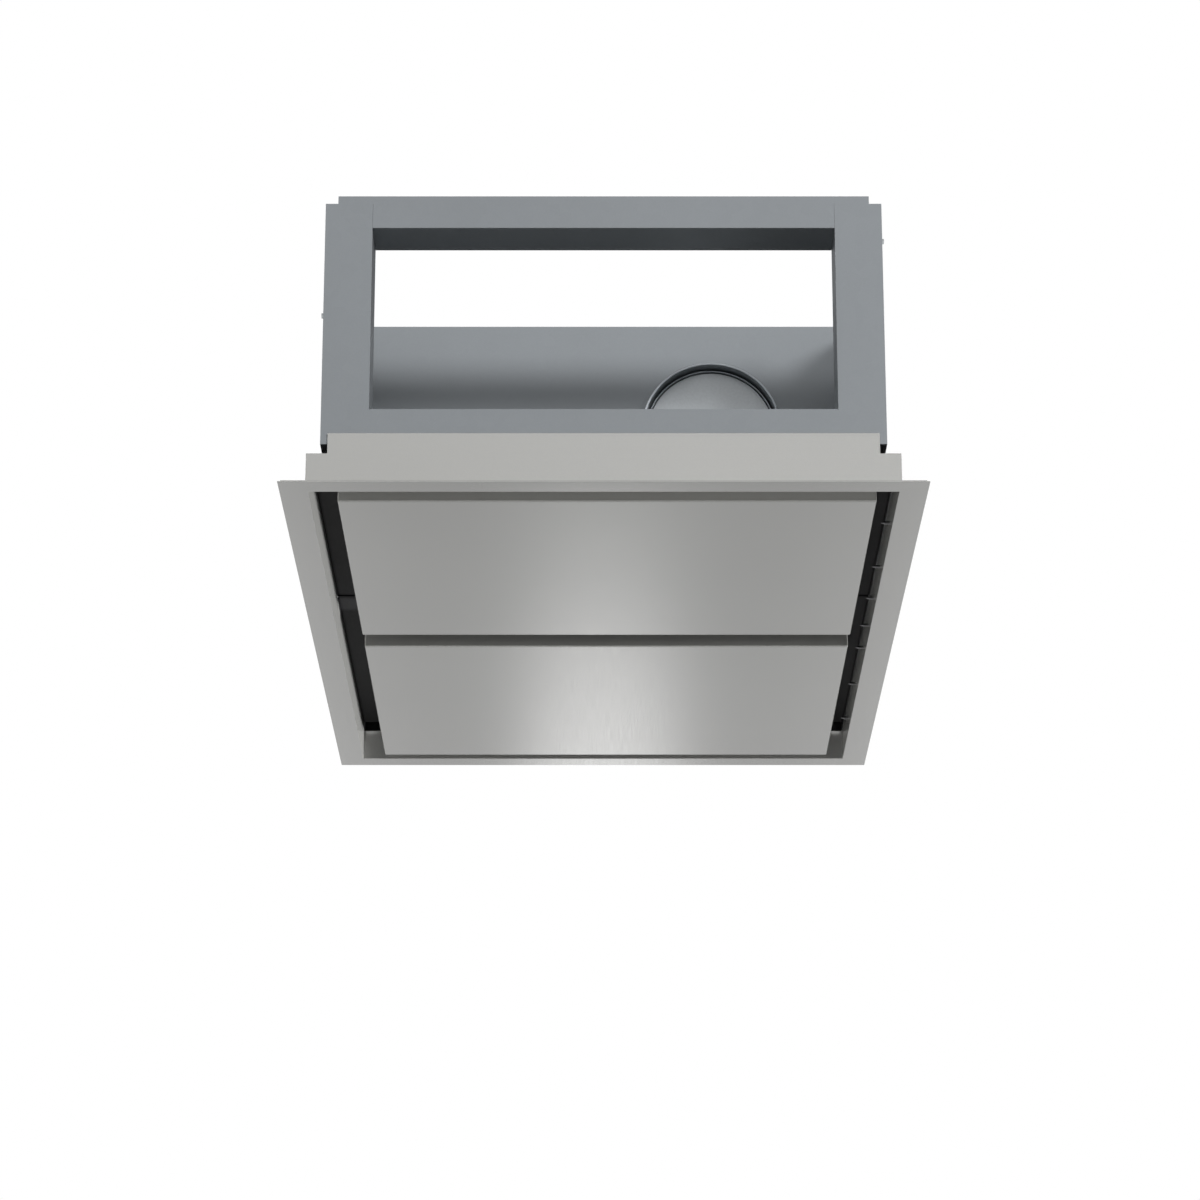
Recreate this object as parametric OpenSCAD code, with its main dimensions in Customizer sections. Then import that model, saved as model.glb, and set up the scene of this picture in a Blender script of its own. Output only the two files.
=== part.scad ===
// Ceiling range hood, seen from its short end.
// A galvanised mounting frame hangs from the ceiling, a stainless trim frame lies flush under it,
// and two hinged stainless panels close its opening but for a suction slot all round.
// Millimetres. +Z is up, +Y runs along the hood, the origin is the centre of the ceiling bolts.

/* [Trim frame] */
// Length of the stainless flange, along Y
flange_l = 1100; // [1090:5:1160]
// Width of the stainless flange, along X
flange_w = 700; // [696:2:740]
// Width of the flange outside the collar
flange_border = 28; // [22:1:34]
// Wall of the collar, a folded double sheet
collar_t = 3; // [2:0.5:4]
// Height of the collar above the flange's underside
collar_h = 43.4; // [41:0.2:46]
// Sheet thickness of the flange
flange_t = 1.2; // [1:0.1:1.6]
// Height of the flange's folded outer lip
flange_lip_h = 2; // [1.8:0.1:3]
// Height of the end tabs that grip the mounting frame
tab_h = 23.3; // [15:0.1:30]

/* [Mounting frame] */
// Height of the galvanised mounting frame
frame_h = 293; // [288:1:310]
// Height of the mounting frame's underside above the flange's underside
frame_lift = 55; // [53:0.5:58]
// Free width between the collar and each side of the mounting frame
side_gap = 11.8; // [10:0.2:13]
// Galvanised sheet thickness
sheet_t = 1.5; // [1.2:0.1:1.8]
// Width of the end posts
post_w = 52.2; // [46:0.2:56]
// Depth of the channels at both ends, along Y
channel_d = 62; // [56:1:63]
// Height of the bottom beam
sill_h = 39.8; // [37:0.2:42]
// Height of the top beam
lintel_h = 38; // [32:1:44]
// Height of the top beam's ears above the posts
ear_h = 9; // [7:0.5:12]
// Length of each ear over its post
ear_l = 38.9; // [30:0.5:44]
// Radius of the ceiling bolt holes
bolt_hole_r = 4.5; // [3.5:0.5:6]
// Distance between the ceiling bolts across the hood
bolt_spacing_x = 450; // [400:10:470]

/* [Panels] */
// Suction slot at the hinge side
slot_left = 30.15; // [28.5:0.05:34]
// Suction slot at the catch side
slot_right = 22.85; // [18:0.05:28]
// Suction slot at both ends
slot_end = 25.6; // [20:0.1:32]
// Suction slot between the two panels
slot_centre = 46.2; // [36:0.2:54]
// Height of the boxed panels
panel_h = 20; // [17:0.5:21]
// How far the panels stand out below the flange
panel_drop = 2; // [0:0.5:3]
// Sheet thickness of the panels
panel_t = 1; // [0.8:0.1:1.4]

/* [Filters] */
// Width of the filter opening
filter_w = 500; // [460:5:505]
// Half width of the bridge between the filter openings
filter_bridge = 75; // [72:1:115]
// Thickness of a filter cassette
filter_h = 12; // [11:0.5:13]
// Sheet thickness of the black filter housings
black_t = 1.2; // [1:0.1:1.5]
// Travel of a filter latch
latch_travel = 6; // [4:0.5:7]

/* [Fan] */
// Half width of the fan box
fan_box_x = 295; // [286:1:296]
// Height of the fan box
fan_box_h = 247.5; // [232:0.5:249]
// Outer radius of the impeller
impeller_r = 100; // [94:1:104]
// Number of impeller blades
blade_count = 36; // [24:1:48]
// Width and height of the scroll's outlet
outlet_w = 150; // [146:1:152]
// Outer radius of the duct collar
duct_r = 80; // [79:0.5:81]
// Length of the duct collar
duct_l = 38; // [32:1:46]

/* [Hidden] */
$fn = 64;
// Overrun of every cut
cut = 1;
// Running clearance of pins in their bores
run = 0.05;
// Clearance of loose fits and screw holes
fit = 0.3;
// Clearance of soft or easy seats
seat = 0.2;

// Heights, measured from the ceiling plane down
overall_h = frame_lift + frame_h;
flange_z = -overall_h;
collar_z = flange_z + collar_h;
tab_z = collar_z + tab_h;
frame_z = flange_z + frame_lift;
sill_z = frame_z + sill_h;
lintel_z = -lintel_h;
post_z = -ear_h;

// Half sizes of the opening, collar, frame and window
collar_x = flange_w / 2 - flange_border;
collar_y = flange_l / 2 - flange_border;
opening_x = collar_x - collar_t;
opening_y = collar_y - collar_t;
frame_x = opening_x - side_gap;
frame_y = opening_y;
window_x = frame_x - post_w;
channel_y = frame_y - channel_d;
seam = 0.5;
beam_x = window_x - seat;
ear_x = window_x + ear_l - seam;

// Small sizes of the trim frame
lip_w = 6;
lip_relief = 3.4;
tab_inset = 8;
tab_x = frame_x - tab_inset;
collar_screw_h = 18;
collar_screw_shares = [-0.71, -0.42, -0.2, 0, 0.17, 0.46, 0.75];
screw_r = 2;
screw_head_r = 3.6;
screw_head_h = 2;
collar_screw_tip = 9.5;

// Small sizes of the mounting frame
side_x = frame_x - sheet_t;
side_in_x = side_x - sheet_t;
side_flange_w = 20;
side_head_w = 7;
side_lap = 50;
side_screw_y = 29;
side_screw_head_h = 4;
left_screw_share = 0.553;
right_screw_share = 0.857;
left_screw_z = frame_z + left_screw_share * frame_h;
right_screw_z = frame_z + right_screw_share * frame_h;
beam_lip_h = 12;
rivet_r = 2;
rivet_head_r = 3.5;
rivet_head_h = 1;
bolt_y = frame_y - channel_d / 2;

// Black housings under the frame
rim_x = opening_x - seam;
rim_z = collar_z - black_t;
rim_lip_h = 3.6;
rim_lip_z = rim_z - rim_lip_h;
rim_joint_in = 42.5;
rim_joint_y = -rim_joint_in;
rim_joint_gap = 11;
rim_lap = 6;
rear_strip_w = 29;
rear_strip_y = opening_y - seam - rear_strip_w;
hole_x = filter_w / 2;
hole_gap = 2;
hole_far_y = channel_y - hole_gap;
hole_near_y = filter_bridge;
ledge_w = 8;

// Filter cassettes
filter_gap = 1.2;
filter_rim_w = 12;
filter_groove = 5;
mesh_t = 3;
mesh_up = 6.4;
ledge_z = rim_z + filter_h + filter_gap + seam;
filter_z = ledge_z - seat - filter_h;
filter_x = hole_x - filter_gap;
filter_far_y = hole_far_y - filter_gap;
filter_near_y = hole_near_y + filter_gap;
peg_w = 16;
peg_t = 4;
peg_share = 0.6;
latch_w = 14;
latch_t = 3.6;
latch_up = 1.5;
latch_reach = 2.4;
latch_grip_l = 18;
latch_inner_l = latch_travel + latch_grip_l;
latch_tab_h = 8;
latch_tab_t = 2;

// Panels and their hinges
panel_x0 = slot_left - opening_x;
panel_x1 = opening_x - slot_right;
panel_far_y = opening_y - slot_end;
panel_near_y = slot_centre / 2;
panel_mid_y = (panel_far_y + panel_near_y) / 2;
panel_z = flange_z - panel_drop;
panel_top_z = panel_z + panel_h;
back_t = 1.2;
hinge_in = 8.85;
hinge_x = panel_x0 + hinge_in;
barrel_r = 4;
hinge_pin_r = 2;
hinge_z = panel_top_z + barrel_r + seam;
knuckle_l = 17;
knuckle_gap = 0.5;
hinge_l = 50;
leaf_t = 1.5;
leaf_neck = 7;
leaf_w = 30;
bracket_t = 2;
bracket_foot_w = 18;
pin_head_h = 1;
pin_head_r = 3;
hinge_share = 0.36;
catch_in = 21;
catch_x = panel_x1 - catch_in;
catch_w = 16;
catch_l = 40;
magnet_w = 10;
magnet_l = 32;
magnet_drop = 2;
strike_w = 26;
strike_l = 44;
strike_t = 1.5;
catch_share = 0.32;

// Plenum plate and fan box
plenum_z = sill_z + sheet_t;
fan_box_front = 152;
fan_box_rear = 190;
fan_box_t = 1.2;
fan_box_top_z = plenum_z + fan_box_h;
fan_box_foot = 12;
lid_rim_h = 12;
box_screw_drop = 6;
box_screw_share = 0.7;

// Scroll, inlet and impeller, centred on the origin's vertical
scroll_t = 1.2;
scroll_lift = 29.7;
scroll_z = plenum_z + scroll_lift;
scroll_top_z = scroll_z + outlet_w;
scroll_gap = 12;
outlet_x0 = 52;
outlet_x1 = outlet_x0 + outlet_w;
outlet_x = (outlet_x0 + outlet_x1) / 2;
outlet_z = (scroll_z + scroll_top_z) / 2;
cutoff_r = impeller_r + scroll_gap;
scroll_steps = 48;
mouth_y = fan_box_front - fan_box_t;
mount_r = 10;
mount_place_shares = [[-0.655, 0.05], [0.05, 0.75], [0.82, 0.12], [0.74, -0.55]];
inlet_t = 1.5;
inlet_flange_w = 10;
inlet_mouth_in = 6;
inlet_throat_in = 18;
inlet_mouth_r = impeller_r - inlet_mouth_in;
inlet_throat_r = impeller_r - inlet_throat_in;
inlet_throat_h = 8;
inlet_hole_gap = 2.5;
eye_gap = 2.5;
eye_r = inlet_throat_r + inlet_t + eye_gap;
impeller_t = 2;
impeller_lift = 7;
impeller_drop = 18;
impeller_z = scroll_z + impeller_lift;
impeller_top_z = scroll_top_z - impeller_drop;
blade_t = 1;
blade_turn = 35;

// Outer rotor motor
rotor_share = 0.52;
rotor_r = impeller_r * rotor_share;
rotor_wall = 3;
rotor_h = 60;
rotor_flange_w = 8;
rotor_seat = 0.5;
rotor_top_z = impeller_top_z + impeller_t;
rotor_z = rotor_top_z - rotor_h;
shaft_r = 5;
bearing_r = 11;
bearing_h = 12;
boss_r = 15;
flange_r = 45;
flange_plate_h = 3;
tube_r = 13;
core_gap = 1.5;
core_r = rotor_r - rotor_wall - core_gap;
core_h = 26;
core_lift = 22;
winding_h = 6;
winding_in = 6;
shaft_tail = 2;
motor_screw_r = 2;
motor_screw_place = 34;

// Duct collar and damper
duct_t = 1.2;
bead_h = 1.5;
bead_r = duct_r + bead_h;
bead_w = 4;
duct_flange_w = 12;
ring_t = 1.5;
ring_gap = 2.3;
ring_r = duct_r - duct_t - ring_gap;
ring_recess = 13.5;
ring_flange_w = 5;
spindle_r = 2;
spindle_in = 4;
flap_gap = 1.1;
flap_r = ring_r - ring_t - flap_gap;
flap_t = 1;
knuckle_r = 3.6;
flap_split = 2.4;
flap_notch = 1;
flap_inner = 20;
flap_outer_a = 22;
flap_outer_b = 58;
collar_front_y = fan_box_front + duct_l;
spindle_y = collar_front_y - ring_recess - spindle_in;

// Control box on the plenum plate behind the fan box
control_w = 140;
control_gap = 64;
control_x = control_gap + control_w / 2 - side_in_x;
rear_bay_y = fan_box_rear + fan_box_foot;
rear_bay_l = channel_y - rear_bay_y;
control_share = 0.7;
control_l = control_share * rear_bay_l;
control_y = rear_bay_y + rear_bay_l / 2;
control_h = 46;
control_t = 2;
control_lid_t = 2.4;
board_t = 1.6;
board_up = 8;
board_gap = 3;
post_r = 3;
post_in = 10;
terminal_w = 60;
terminal_l = 16;
terminal_in = 32;
terminal_h = 14;
terminal_ways = 5;
terminal_bore_r = 2;
capacitor_r = 11;
capacitor_h = 24;
gland_y = control_y;
gland_up = 90;
gland_r = 8;
gland_bore_r = 5;
gland_hex_r = 12;
gland_hex_h = 6;
gland_nose_h = 8;
gland_nut_h = 4;

// A box between two limits on each axis
module slab(x, y, z) {
    translate([x[0], y[0], z[0]])
        cube([x[1] - x[0], y[1] - y[0], z[1] - z[0]]);
}

// A rectangular ring, from its outer and inner half sizes
module ring_slab(outer, inner, z) {
    difference() {
        slab([-outer[0], outer[0]], [-outer[1], outer[1]], z);
        slab([-inner[0], inner[0]], [-inner[1], inner[1]], [z[0] - cut, z[1] + cut]);
    }
}

// A rectangular ring that is not centred, with its wall outside the given opening
module frame_slab(x, y, wall, z) {
    difference() {
        slab([x[0] - wall, x[1] + wall], [y[0] - wall, y[1] + wall], z);
        slab(x, y, [z[0] - cut, z[1] + cut]);
    }
}

module rod_x(r, x, y, z) {
    translate([x[0], y, z])
        rotate([0, 90, 0])
            cylinder(r = r, h = x[1] - x[0]);
}

module rod_y(r, x, y, z) {
    translate([x, y[0], z])
        rotate([-90, 0, 0])
            cylinder(r = r, h = y[1] - y[0]);
}

module rod_z(r, x, y, z) {
    translate([x, y, z[0]])
        cylinder(r = r, h = z[1] - z[0]);
}

module both_sides() {
    children();
    mirror([1, 0, 0])
        children();
}

module both_ends() {
    children();
    mirror([0, 1, 0])
        children();
}

module at_rear() {
    mirror([0, 1, 0])
        children();
}

// Galvanised mounting frame

// Posts and bottom beam of one end, folded from one sheet, without their screw holes
module end_channel() {
    depth = [-frame_y, -channel_y];
    difference() {
        slab([-frame_x, frame_x], [-frame_y, -frame_y + sheet_t], [frame_z, post_z]);
        slab([-window_x, window_x], [-frame_y - cut, -frame_y + sheet_t + cut], [sill_z, post_z + cut]);
    }
    both_sides() {
        slab([side_x, frame_x], depth, [frame_z, post_z]);
        slab([window_x, window_x + sheet_t], depth, [sill_z - sheet_t, post_z]);
        slab([window_x, frame_x], depth, [post_z - sheet_t, post_z]);
    }
    slab([-window_x - sheet_t, window_x + sheet_t], depth, [sill_z - sheet_t, sill_z]);
    slab([-frame_x, frame_x], depth, [frame_z, frame_z + sheet_t]);
}

// Every hole that the screws and rivets of the mounting frame need
module frame_holes() {
    both_ends() {
        rod_x(screw_r + fit, [-frame_x - cut, -side_in_x + cut], side_screw_y - frame_y, left_screw_z);
        rod_x(screw_r + fit, [side_in_x - cut, frame_x + cut], side_screw_y - frame_y, right_screw_z);
        both_sides()
            rod_x(rivet_r + seat, [beam_x - sheet_t - cut, window_x + sheet_t + cut], -bolt_y, rivet_z());
    }
}

function rivet_z() = (lintel_z + post_z) / 2;

module end_frame() {
    color("silver")
        difference() {
            end_channel();
            frame_holes();
        }
}

module front_end_frame() {
    end_frame();
}

module rear_end_frame() {
    at_rear()
        end_frame();
}

// Top beam: a channel between the posts, with ears that lie on them
module top_beam() {
    depth = [-frame_y, -channel_y];
    face = [-frame_y, -frame_y + sheet_t];
    color("silver")
        difference() {
            union() {
                slab([-beam_x, beam_x], face, [lintel_z, 0]);
                slab([-ear_x, ear_x], face, [post_z, 0]);
                slab([-ear_x, ear_x], depth, [-sheet_t, 0]);
                slab([-beam_x, beam_x], depth, [lintel_z, lintel_z + sheet_t]);
                slab([-beam_x, beam_x], [-channel_y - sheet_t, -channel_y], [lintel_z, lintel_z + beam_lip_h]);
                both_sides() {
                    slab([beam_x - sheet_t, beam_x], depth, [lintel_z, post_z]);
                    slab([ear_x - sheet_t, ear_x], depth, [post_z, 0]);
                }
            }
            frame_holes();
            both_sides()
                rod_z(bolt_hole_r, bolt_spacing_x / 2, -bolt_y, [-sheet_t - cut, cut]);
        }
}

module front_top_beam() {
    top_beam();
}

module rear_top_beam() {
    at_rear()
        top_beam();
}

module left_side_panel() {
    color("silver")
        difference() {
            mirror([1, 0, 0])
                side_panel_blank();
            frame_holes();
            rod_x(gland_r + fit, [-side_x - cut, -side_in_x + cut], gland_y, plenum_z + gland_up);
        }
}

module right_side_panel() {
    color("silver")
        difference() {
            side_panel_blank();
            frame_holes();
        }
}

// Side sheet with a flange along its foot and its head, lapped inside the posts
module side_panel_blank() {
    lap_y = channel_y + side_lap;
    foot_z = frame_z + sheet_t;
    head_z = post_z - sheet_t;
    slab([side_in_x, side_x], [-lap_y, lap_y], [foot_z, head_z]);
    slab([side_x - side_flange_w, side_x], [-channel_y, channel_y], [foot_z, foot_z + sheet_t]);
    slab([side_x - side_head_w, side_x], [-channel_y, channel_y], [head_z - sheet_t, head_z]);
}

// Screws through the post and the side sheet, with tall heads outside
module side_screws(z) {
    both_ends() {
        rod_x(screw_r, [side_in_x - screw_head_h, frame_x], side_screw_y - frame_y, z);
        rod_x(screw_head_r, [frame_x, frame_x + side_screw_head_h], side_screw_y - frame_y, z);
    }
}

module left_side_screws() {
    color("dimgray")
        mirror([1, 0, 0])
            side_screws(left_screw_z);
}

module right_side_screws() {
    color("dimgray")
        side_screws(right_screw_z);
}

// Rivets that join each top beam to its posts
module beam_rivets() {
    color("lightgray")
        both_ends()
            both_sides() {
                rod_x(rivet_r, [beam_x - sheet_t, window_x + sheet_t], -bolt_y, rivet_z());
                rod_x(rivet_head_r, [beam_x - sheet_t - rivet_head_h, beam_x - sheet_t], -bolt_y, rivet_z());
                rod_x(rivet_head_r, [window_x + sheet_t, window_x + sheet_t + rivet_head_h], -bolt_y, rivet_z());
            }
}

// Stainless trim frame

module collar_screw_row() {
    for (share = collar_screw_shares)
        translate([0, share * opening_y, flange_z + collar_screw_h])
            children();
}

module trim_frame() {
    half_w = flange_w / 2;
    half_l = flange_l / 2;
    lip = [flange_z + flange_t, flange_z + flange_lip_h];
    color("gainsboro")
        difference() {
            union() {
                ring_slab([half_w, half_l], [opening_x, opening_y], [flange_z, flange_z + flange_t]);
                both_sides()
                    slab([half_w - lip_w, half_w], [lip_relief - half_l, half_l - lip_relief], lip);
                both_ends()
                    slab([lip_relief - half_w, half_w - lip_relief], [half_l - lip_w, half_l], lip);
                ring_slab([collar_x, collar_y], [opening_x, opening_y], [flange_z, collar_z]);
                both_ends()
                    slab([-tab_x, tab_x], [opening_y, collar_y], [collar_z, tab_z]);
            }
            collar_screw_row()
                rod_x(screw_r + fit, [opening_x - cut, collar_x + cut], 0, 0);
        }
}

// Self-tapping screws through the collar's catch side, with their tips in the slot
module collar_screws() {
    color("silver")
        collar_screw_row() {
            rod_x(screw_r, [opening_x - collar_screw_tip, collar_x], 0, 0);
            rod_x(screw_head_r, [collar_x, collar_x + screw_head_h], 0, 0);
        }
}

// Black housings and plenum

// One housing at the rear: rim, lips, walls up to the plenum plate and the ledge for the filter
module filter_housing(rim, wall_start) {
    hole_y = [hole_near_y, hole_far_y];
    hole = [-hole_x, hole_x];
    difference() {
        union() {
            difference() {
                slab([-rim_x, rim_x], rim, [rim_z, rim_z + black_t]);
                slab(hole, hole_y, [rim_z - cut, rim_z + black_t + cut]);
            }
            both_sides() {
                slab([rim_x - black_t, rim_x], rim, [rim_lip_z, rim_z + black_t]);
                slab([hole_x, hole_x + black_t], [wall_start, hole_far_y], [rim_z, sill_z]);
            }
            slab([-hole_x - black_t, hole_x + black_t], [hole_far_y, hole_far_y + black_t], [rim_z, sill_z]);
            slab(hole, [hole_near_y - black_t, hole_near_y], [rim_z, ledge_z + black_t]);
            frame_slab([ledge_w - hole_x, hole_x - ledge_w], [hole_near_y + ledge_w, hole_far_y - ledge_w],
                       ledge_w, [ledge_z, ledge_z + black_t]);
        }
        slab([-latch_w / 2 - fit, latch_w / 2 + fit], [hole_near_y - black_t - cut, hole_near_y + cut],
             [filter_z + latch_up - fit, filter_z + latch_up + latch_t + fit]);
        both_sides()
            slab([filter_peg_x() - fit, filter_peg_x() + peg_w + fit],
                 [hole_far_y - cut, hole_far_y + black_t + cut],
                 [filter_z + latch_up - fit, filter_z + latch_up + peg_t + fit]);
    }
}

function filter_peg_x() = peg_share * filter_x;

module front_filter_housing() {
    end_y = opening_y - seam;
    start_y = rim_joint_gap / 2 - rim_joint_y;
    color("#262626")
        at_rear() {
            filter_housing([start_y, end_y], start_y);
            slab([-rim_x, rim_x], [end_y - black_t, end_y], [rim_lip_z, rim_z + black_t]);
        }
}

// The rear housing also carries the bridge between both filters and the laps over the joint
module rear_filter_housing() {
    bridge_y = hole_near_y - black_t;
    color("#262626") {
        filter_housing([rim_joint_y + rim_joint_gap / 2, rear_strip_y], rim_joint_y - rim_joint_gap / 2);
        slab([-hole_x, hole_x], [-bridge_y, bridge_y], [ledge_z, ledge_z + black_t]);
        both_sides()
            slab([hole_x + black_t, rim_x],
                 [rim_joint_y - rim_joint_gap / 2 - rim_lap, rim_joint_y + rim_joint_gap / 2 + rim_lap],
                 [rim_z + black_t, rim_z + black_t + black_t]);
    }
}

// Recessed strip that closes the far end, under the rear frame's channel
module rear_closing_strip() {
    end_y = opening_y - seam;
    color("#1c1c1c") {
        slab([-rim_x, rim_x], [rear_strip_y, end_y], [frame_z - black_t, frame_z]);
        slab([-rim_x, rim_x], [end_y - black_t, end_y], [rim_lip_z, frame_z]);
        both_sides()
            slab([rim_x - black_t, rim_x], [rear_strip_y, end_y], [rim_lip_z, frame_z]);
    }
}

// Plate between the filters and the fan, lying on both bottom beams
module plenum_plate() {
    plate = [sill_z, plenum_z];
    color("silver")
        difference() {
            union() {
                slab([-side_in_x, side_in_x], [-channel_y, channel_y], plate);
                slab([fit - window_x, window_x - fit], [sheet_t - frame_y, frame_y - sheet_t], plate);
            }
            rod_z(inlet_mouth_r, 0, 0, [sill_z - cut, plenum_z + cut]);
        }
}

// Filter cassettes

module filter_frame() {
    color("lightgray")
        difference() {
            union() {
                frame_slab([filter_rim_w - filter_x, filter_x - filter_rim_w],
                           [filter_near_y + filter_rim_w, filter_far_y - filter_rim_w],
                           filter_rim_w, [filter_z, filter_z + filter_h]);
                both_sides()
                    slab([filter_peg_x(), filter_peg_x() + peg_w],
                         [filter_far_y - filter_rim_w, hole_far_y + black_t],
                         [filter_z + latch_up, filter_z + latch_up + peg_t]);
            }
            filter_slab();
            slab([-latch_w / 2 - seat, latch_w / 2 + seat],
                 [filter_near_y - cut, filter_near_y + filter_rim_w + cut],
                 [filter_z + latch_up - seat, filter_z + latch_up + latch_t + seat]);
        }
}

// The layered mesh fills the groove round the cassette's inside
module filter_slab() {
    reach = filter_rim_w - filter_groove;
    slab([reach - filter_x, filter_x - reach], [filter_near_y + reach, filter_far_y - reach],
         [filter_z + mesh_up, filter_z + mesh_up + mesh_t]);
}

module filter_mesh() {
    color("darkgray")
        filter_slab();
}

// Sliding bolt with a finger tab under the mesh
module filter_latch() {
    bolt_z = filter_z + latch_up;
    inner_y = filter_near_y + filter_rim_w + latch_inner_l;
    color("gray") {
        slab([-latch_w / 2, latch_w / 2], [hole_near_y - latch_reach, inner_y], [bolt_z, bolt_z + latch_t]);
        slab([-latch_w / 2, latch_w / 2], [inner_y - latch_tab_t, inner_y], [bolt_z - latch_tab_h, bolt_z]);
    }
}

module front_filter_frame() {
    at_rear()
        filter_frame();
}

module front_filter_mesh() {
    at_rear()
        filter_mesh();
}

module front_filter_latch() {
    at_rear()
        filter_latch();
}

module rear_filter_frame() {
    filter_frame();
}

module rear_filter_mesh() {
    filter_mesh();
}

module rear_filter_latch() {
    filter_latch();
}

// Hinged panels

// Boxed stainless tray, open above
module panel_shell() {
    color("whitesmoke")
        difference() {
            slab([panel_x0, panel_x1], [panel_near_y, panel_far_y], [panel_z, panel_top_z]);
            slab([panel_x0 + panel_t, panel_x1 - panel_t], [panel_near_y + panel_t, panel_far_y - panel_t],
                 [panel_z + panel_t, panel_top_z + cut]);
        }
}

module panel_back() {
    color("silver")
        slab([panel_x0 + panel_t, panel_x1 - panel_t], [panel_near_y + panel_t, panel_far_y - panel_t],
             [panel_top_z - back_t, panel_top_z]);
}

module at_hinges() {
    reach = hinge_share * (panel_far_y - panel_near_y);
    for (side = [-1, 1])
        translate([hinge_x, panel_mid_y + side * reach, hinge_z])
            children();
}

module at_catches() {
    reach = catch_share * (panel_far_y - panel_near_y);
    for (side = [-1, 1])
        translate([catch_x, panel_mid_y + side * reach, 0])
            children();
}

// Moving leaf: one knuckle, a neck and a plate on the panel's back
module hinge_leaves() {
    half_k = knuckle_l / 2;
    foot = [panel_top_z - hinge_z, panel_top_z - hinge_z + leaf_t];
    color("gray")
        at_hinges()
            difference() {
                union() {
                    rod_y(barrel_r, 0, [-half_k, half_k], 0);
                    slab([0, leaf_neck + leaf_t], [-half_k, half_k], foot);
                    slab([leaf_neck, leaf_w], [-hinge_l / 2, hinge_l / 2], foot);
                }
                rod_y(hinge_pin_r + run, 0, [-half_k - cut, half_k + cut], 0);
            }
}

// Fixed bracket: two knuckles, a web and a foot under the housing's rim
module hinge_brackets() {
    half_k = knuckle_l / 2 + knuckle_gap;
    head_z = rim_z - hinge_z;
    color("gray")
        at_hinges()
            both_ends()
                difference() {
                    union() {
                        rod_y(barrel_r, 0, [half_k, hinge_l / 2], 0);
                        slab([-bracket_t / 2, bracket_t / 2], [half_k, hinge_l / 2], [0, head_z]);
                        slab([-bracket_t / 2, bracket_foot_w], [0, hinge_l / 2], [head_z - leaf_t, head_z]);
                    }
                    rod_y(hinge_pin_r + run, 0, [half_k - cut, hinge_l / 2 + cut], 0);
                }
}

module hinge_pins() {
    color("dimgray")
        at_hinges() {
            rod_y(hinge_pin_r, 0, [-hinge_l / 2, hinge_l / 2 + pin_head_h], 0);
            rod_y(pin_head_r, 0, [hinge_l / 2, hinge_l / 2 + pin_head_h], 0);
        }
}

module strike_plates() {
    color("gray")
        at_catches()
            slab([-strike_w / 2, strike_w / 2], [-strike_l / 2, strike_l / 2],
                 [panel_top_z, panel_top_z + strike_t]);
}

function magnet_z() = panel_top_z + strike_t + fit;

module catch_housings() {
    color("#202020")
        both_ends()
            at_catches()
                slab([-catch_w / 2, catch_w / 2], [-catch_l / 2, catch_l / 2], [magnet_z() + magnet_drop, rim_z]);
}

module catch_magnets() {
    color("dimgray")
        both_ends()
            at_catches()
                slab([-magnet_w / 2, magnet_w / 2], [-magnet_l / 2, magnet_l / 2],
                     [magnet_z(), magnet_z() + magnet_drop]);
}

module front_panel_shell() {
    at_rear()
        panel_shell();
}

module front_panel_back() {
    at_rear()
        panel_back();
}

module front_hinge_leaves() {
    at_rear()
        hinge_leaves();
}

module front_hinge_brackets() {
    at_rear()
        hinge_brackets();
}

module front_hinge_pins() {
    at_rear()
        hinge_pins();
}

module front_strike_plates() {
    at_rear()
        strike_plates();
}

module rear_panel_shell() {
    panel_shell();
}

module rear_panel_back() {
    panel_back();
}

module rear_hinge_leaves() {
    hinge_leaves();
}

module rear_hinge_brackets() {
    hinge_brackets();
}

module rear_hinge_pins() {
    hinge_pins();
}

module rear_strike_plates() {
    strike_plates();
}

// Fan box

module at_box_screws() {
    for (share = [-box_screw_share, 0, box_screw_share])
        translate([0, (fan_box_rear - fan_box_front) / 2 + share * (fan_box_rear + fan_box_front) / 2,
                   fan_box_top_z - box_screw_drop])
            children();
}

module fan_box_body() {
    walls = [plenum_z, fan_box_top_z - fan_box_t];
    inner_x = fan_box_x - fan_box_t;
    foot_z = [plenum_z, plenum_z + fan_box_t];
    color("silver")
        difference() {
            union() {
                frame_slab([-inner_x, inner_x], [fan_box_t - fan_box_front, fan_box_rear - fan_box_t],
                           fan_box_t, walls);
                slab([-fan_box_x, fan_box_x], [-fan_box_front - fan_box_foot, -fan_box_front], foot_z);
                slab([-fan_box_x, fan_box_x], [fan_box_rear, fan_box_rear + fan_box_foot], foot_z);
            }
            rod_y(duct_r - duct_t, outlet_x, [-fan_box_front - cut, fan_box_t - fan_box_front + cut], outlet_z);
            both_sides()
                at_box_screws()
                    rod_x(screw_r + fit, [inner_x - cut, fan_box_x + cut], 0, 0);
        }
}

// Lid with a rim folded down inside the walls
module fan_box_lid() {
    inner_x = fan_box_x - fan_box_t;
    rim_in_x = inner_x - fan_box_t;
    color("silver")
        difference() {
            union() {
                slab([-fan_box_x, fan_box_x], [-fan_box_front, fan_box_rear],
                     [fan_box_top_z - fan_box_t, fan_box_top_z]);
                frame_slab([-rim_in_x, rim_in_x],
                           [fan_box_t + fan_box_t - fan_box_front, fan_box_rear - fan_box_t - fan_box_t],
                           fan_box_t, [fan_box_top_z - lid_rim_h, fan_box_top_z - fan_box_t]);
            }
            both_sides()
                at_box_screws()
                    rod_x(screw_r + fit, [rim_in_x - cut, inner_x + cut], 0, 0);
        }
}

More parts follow.
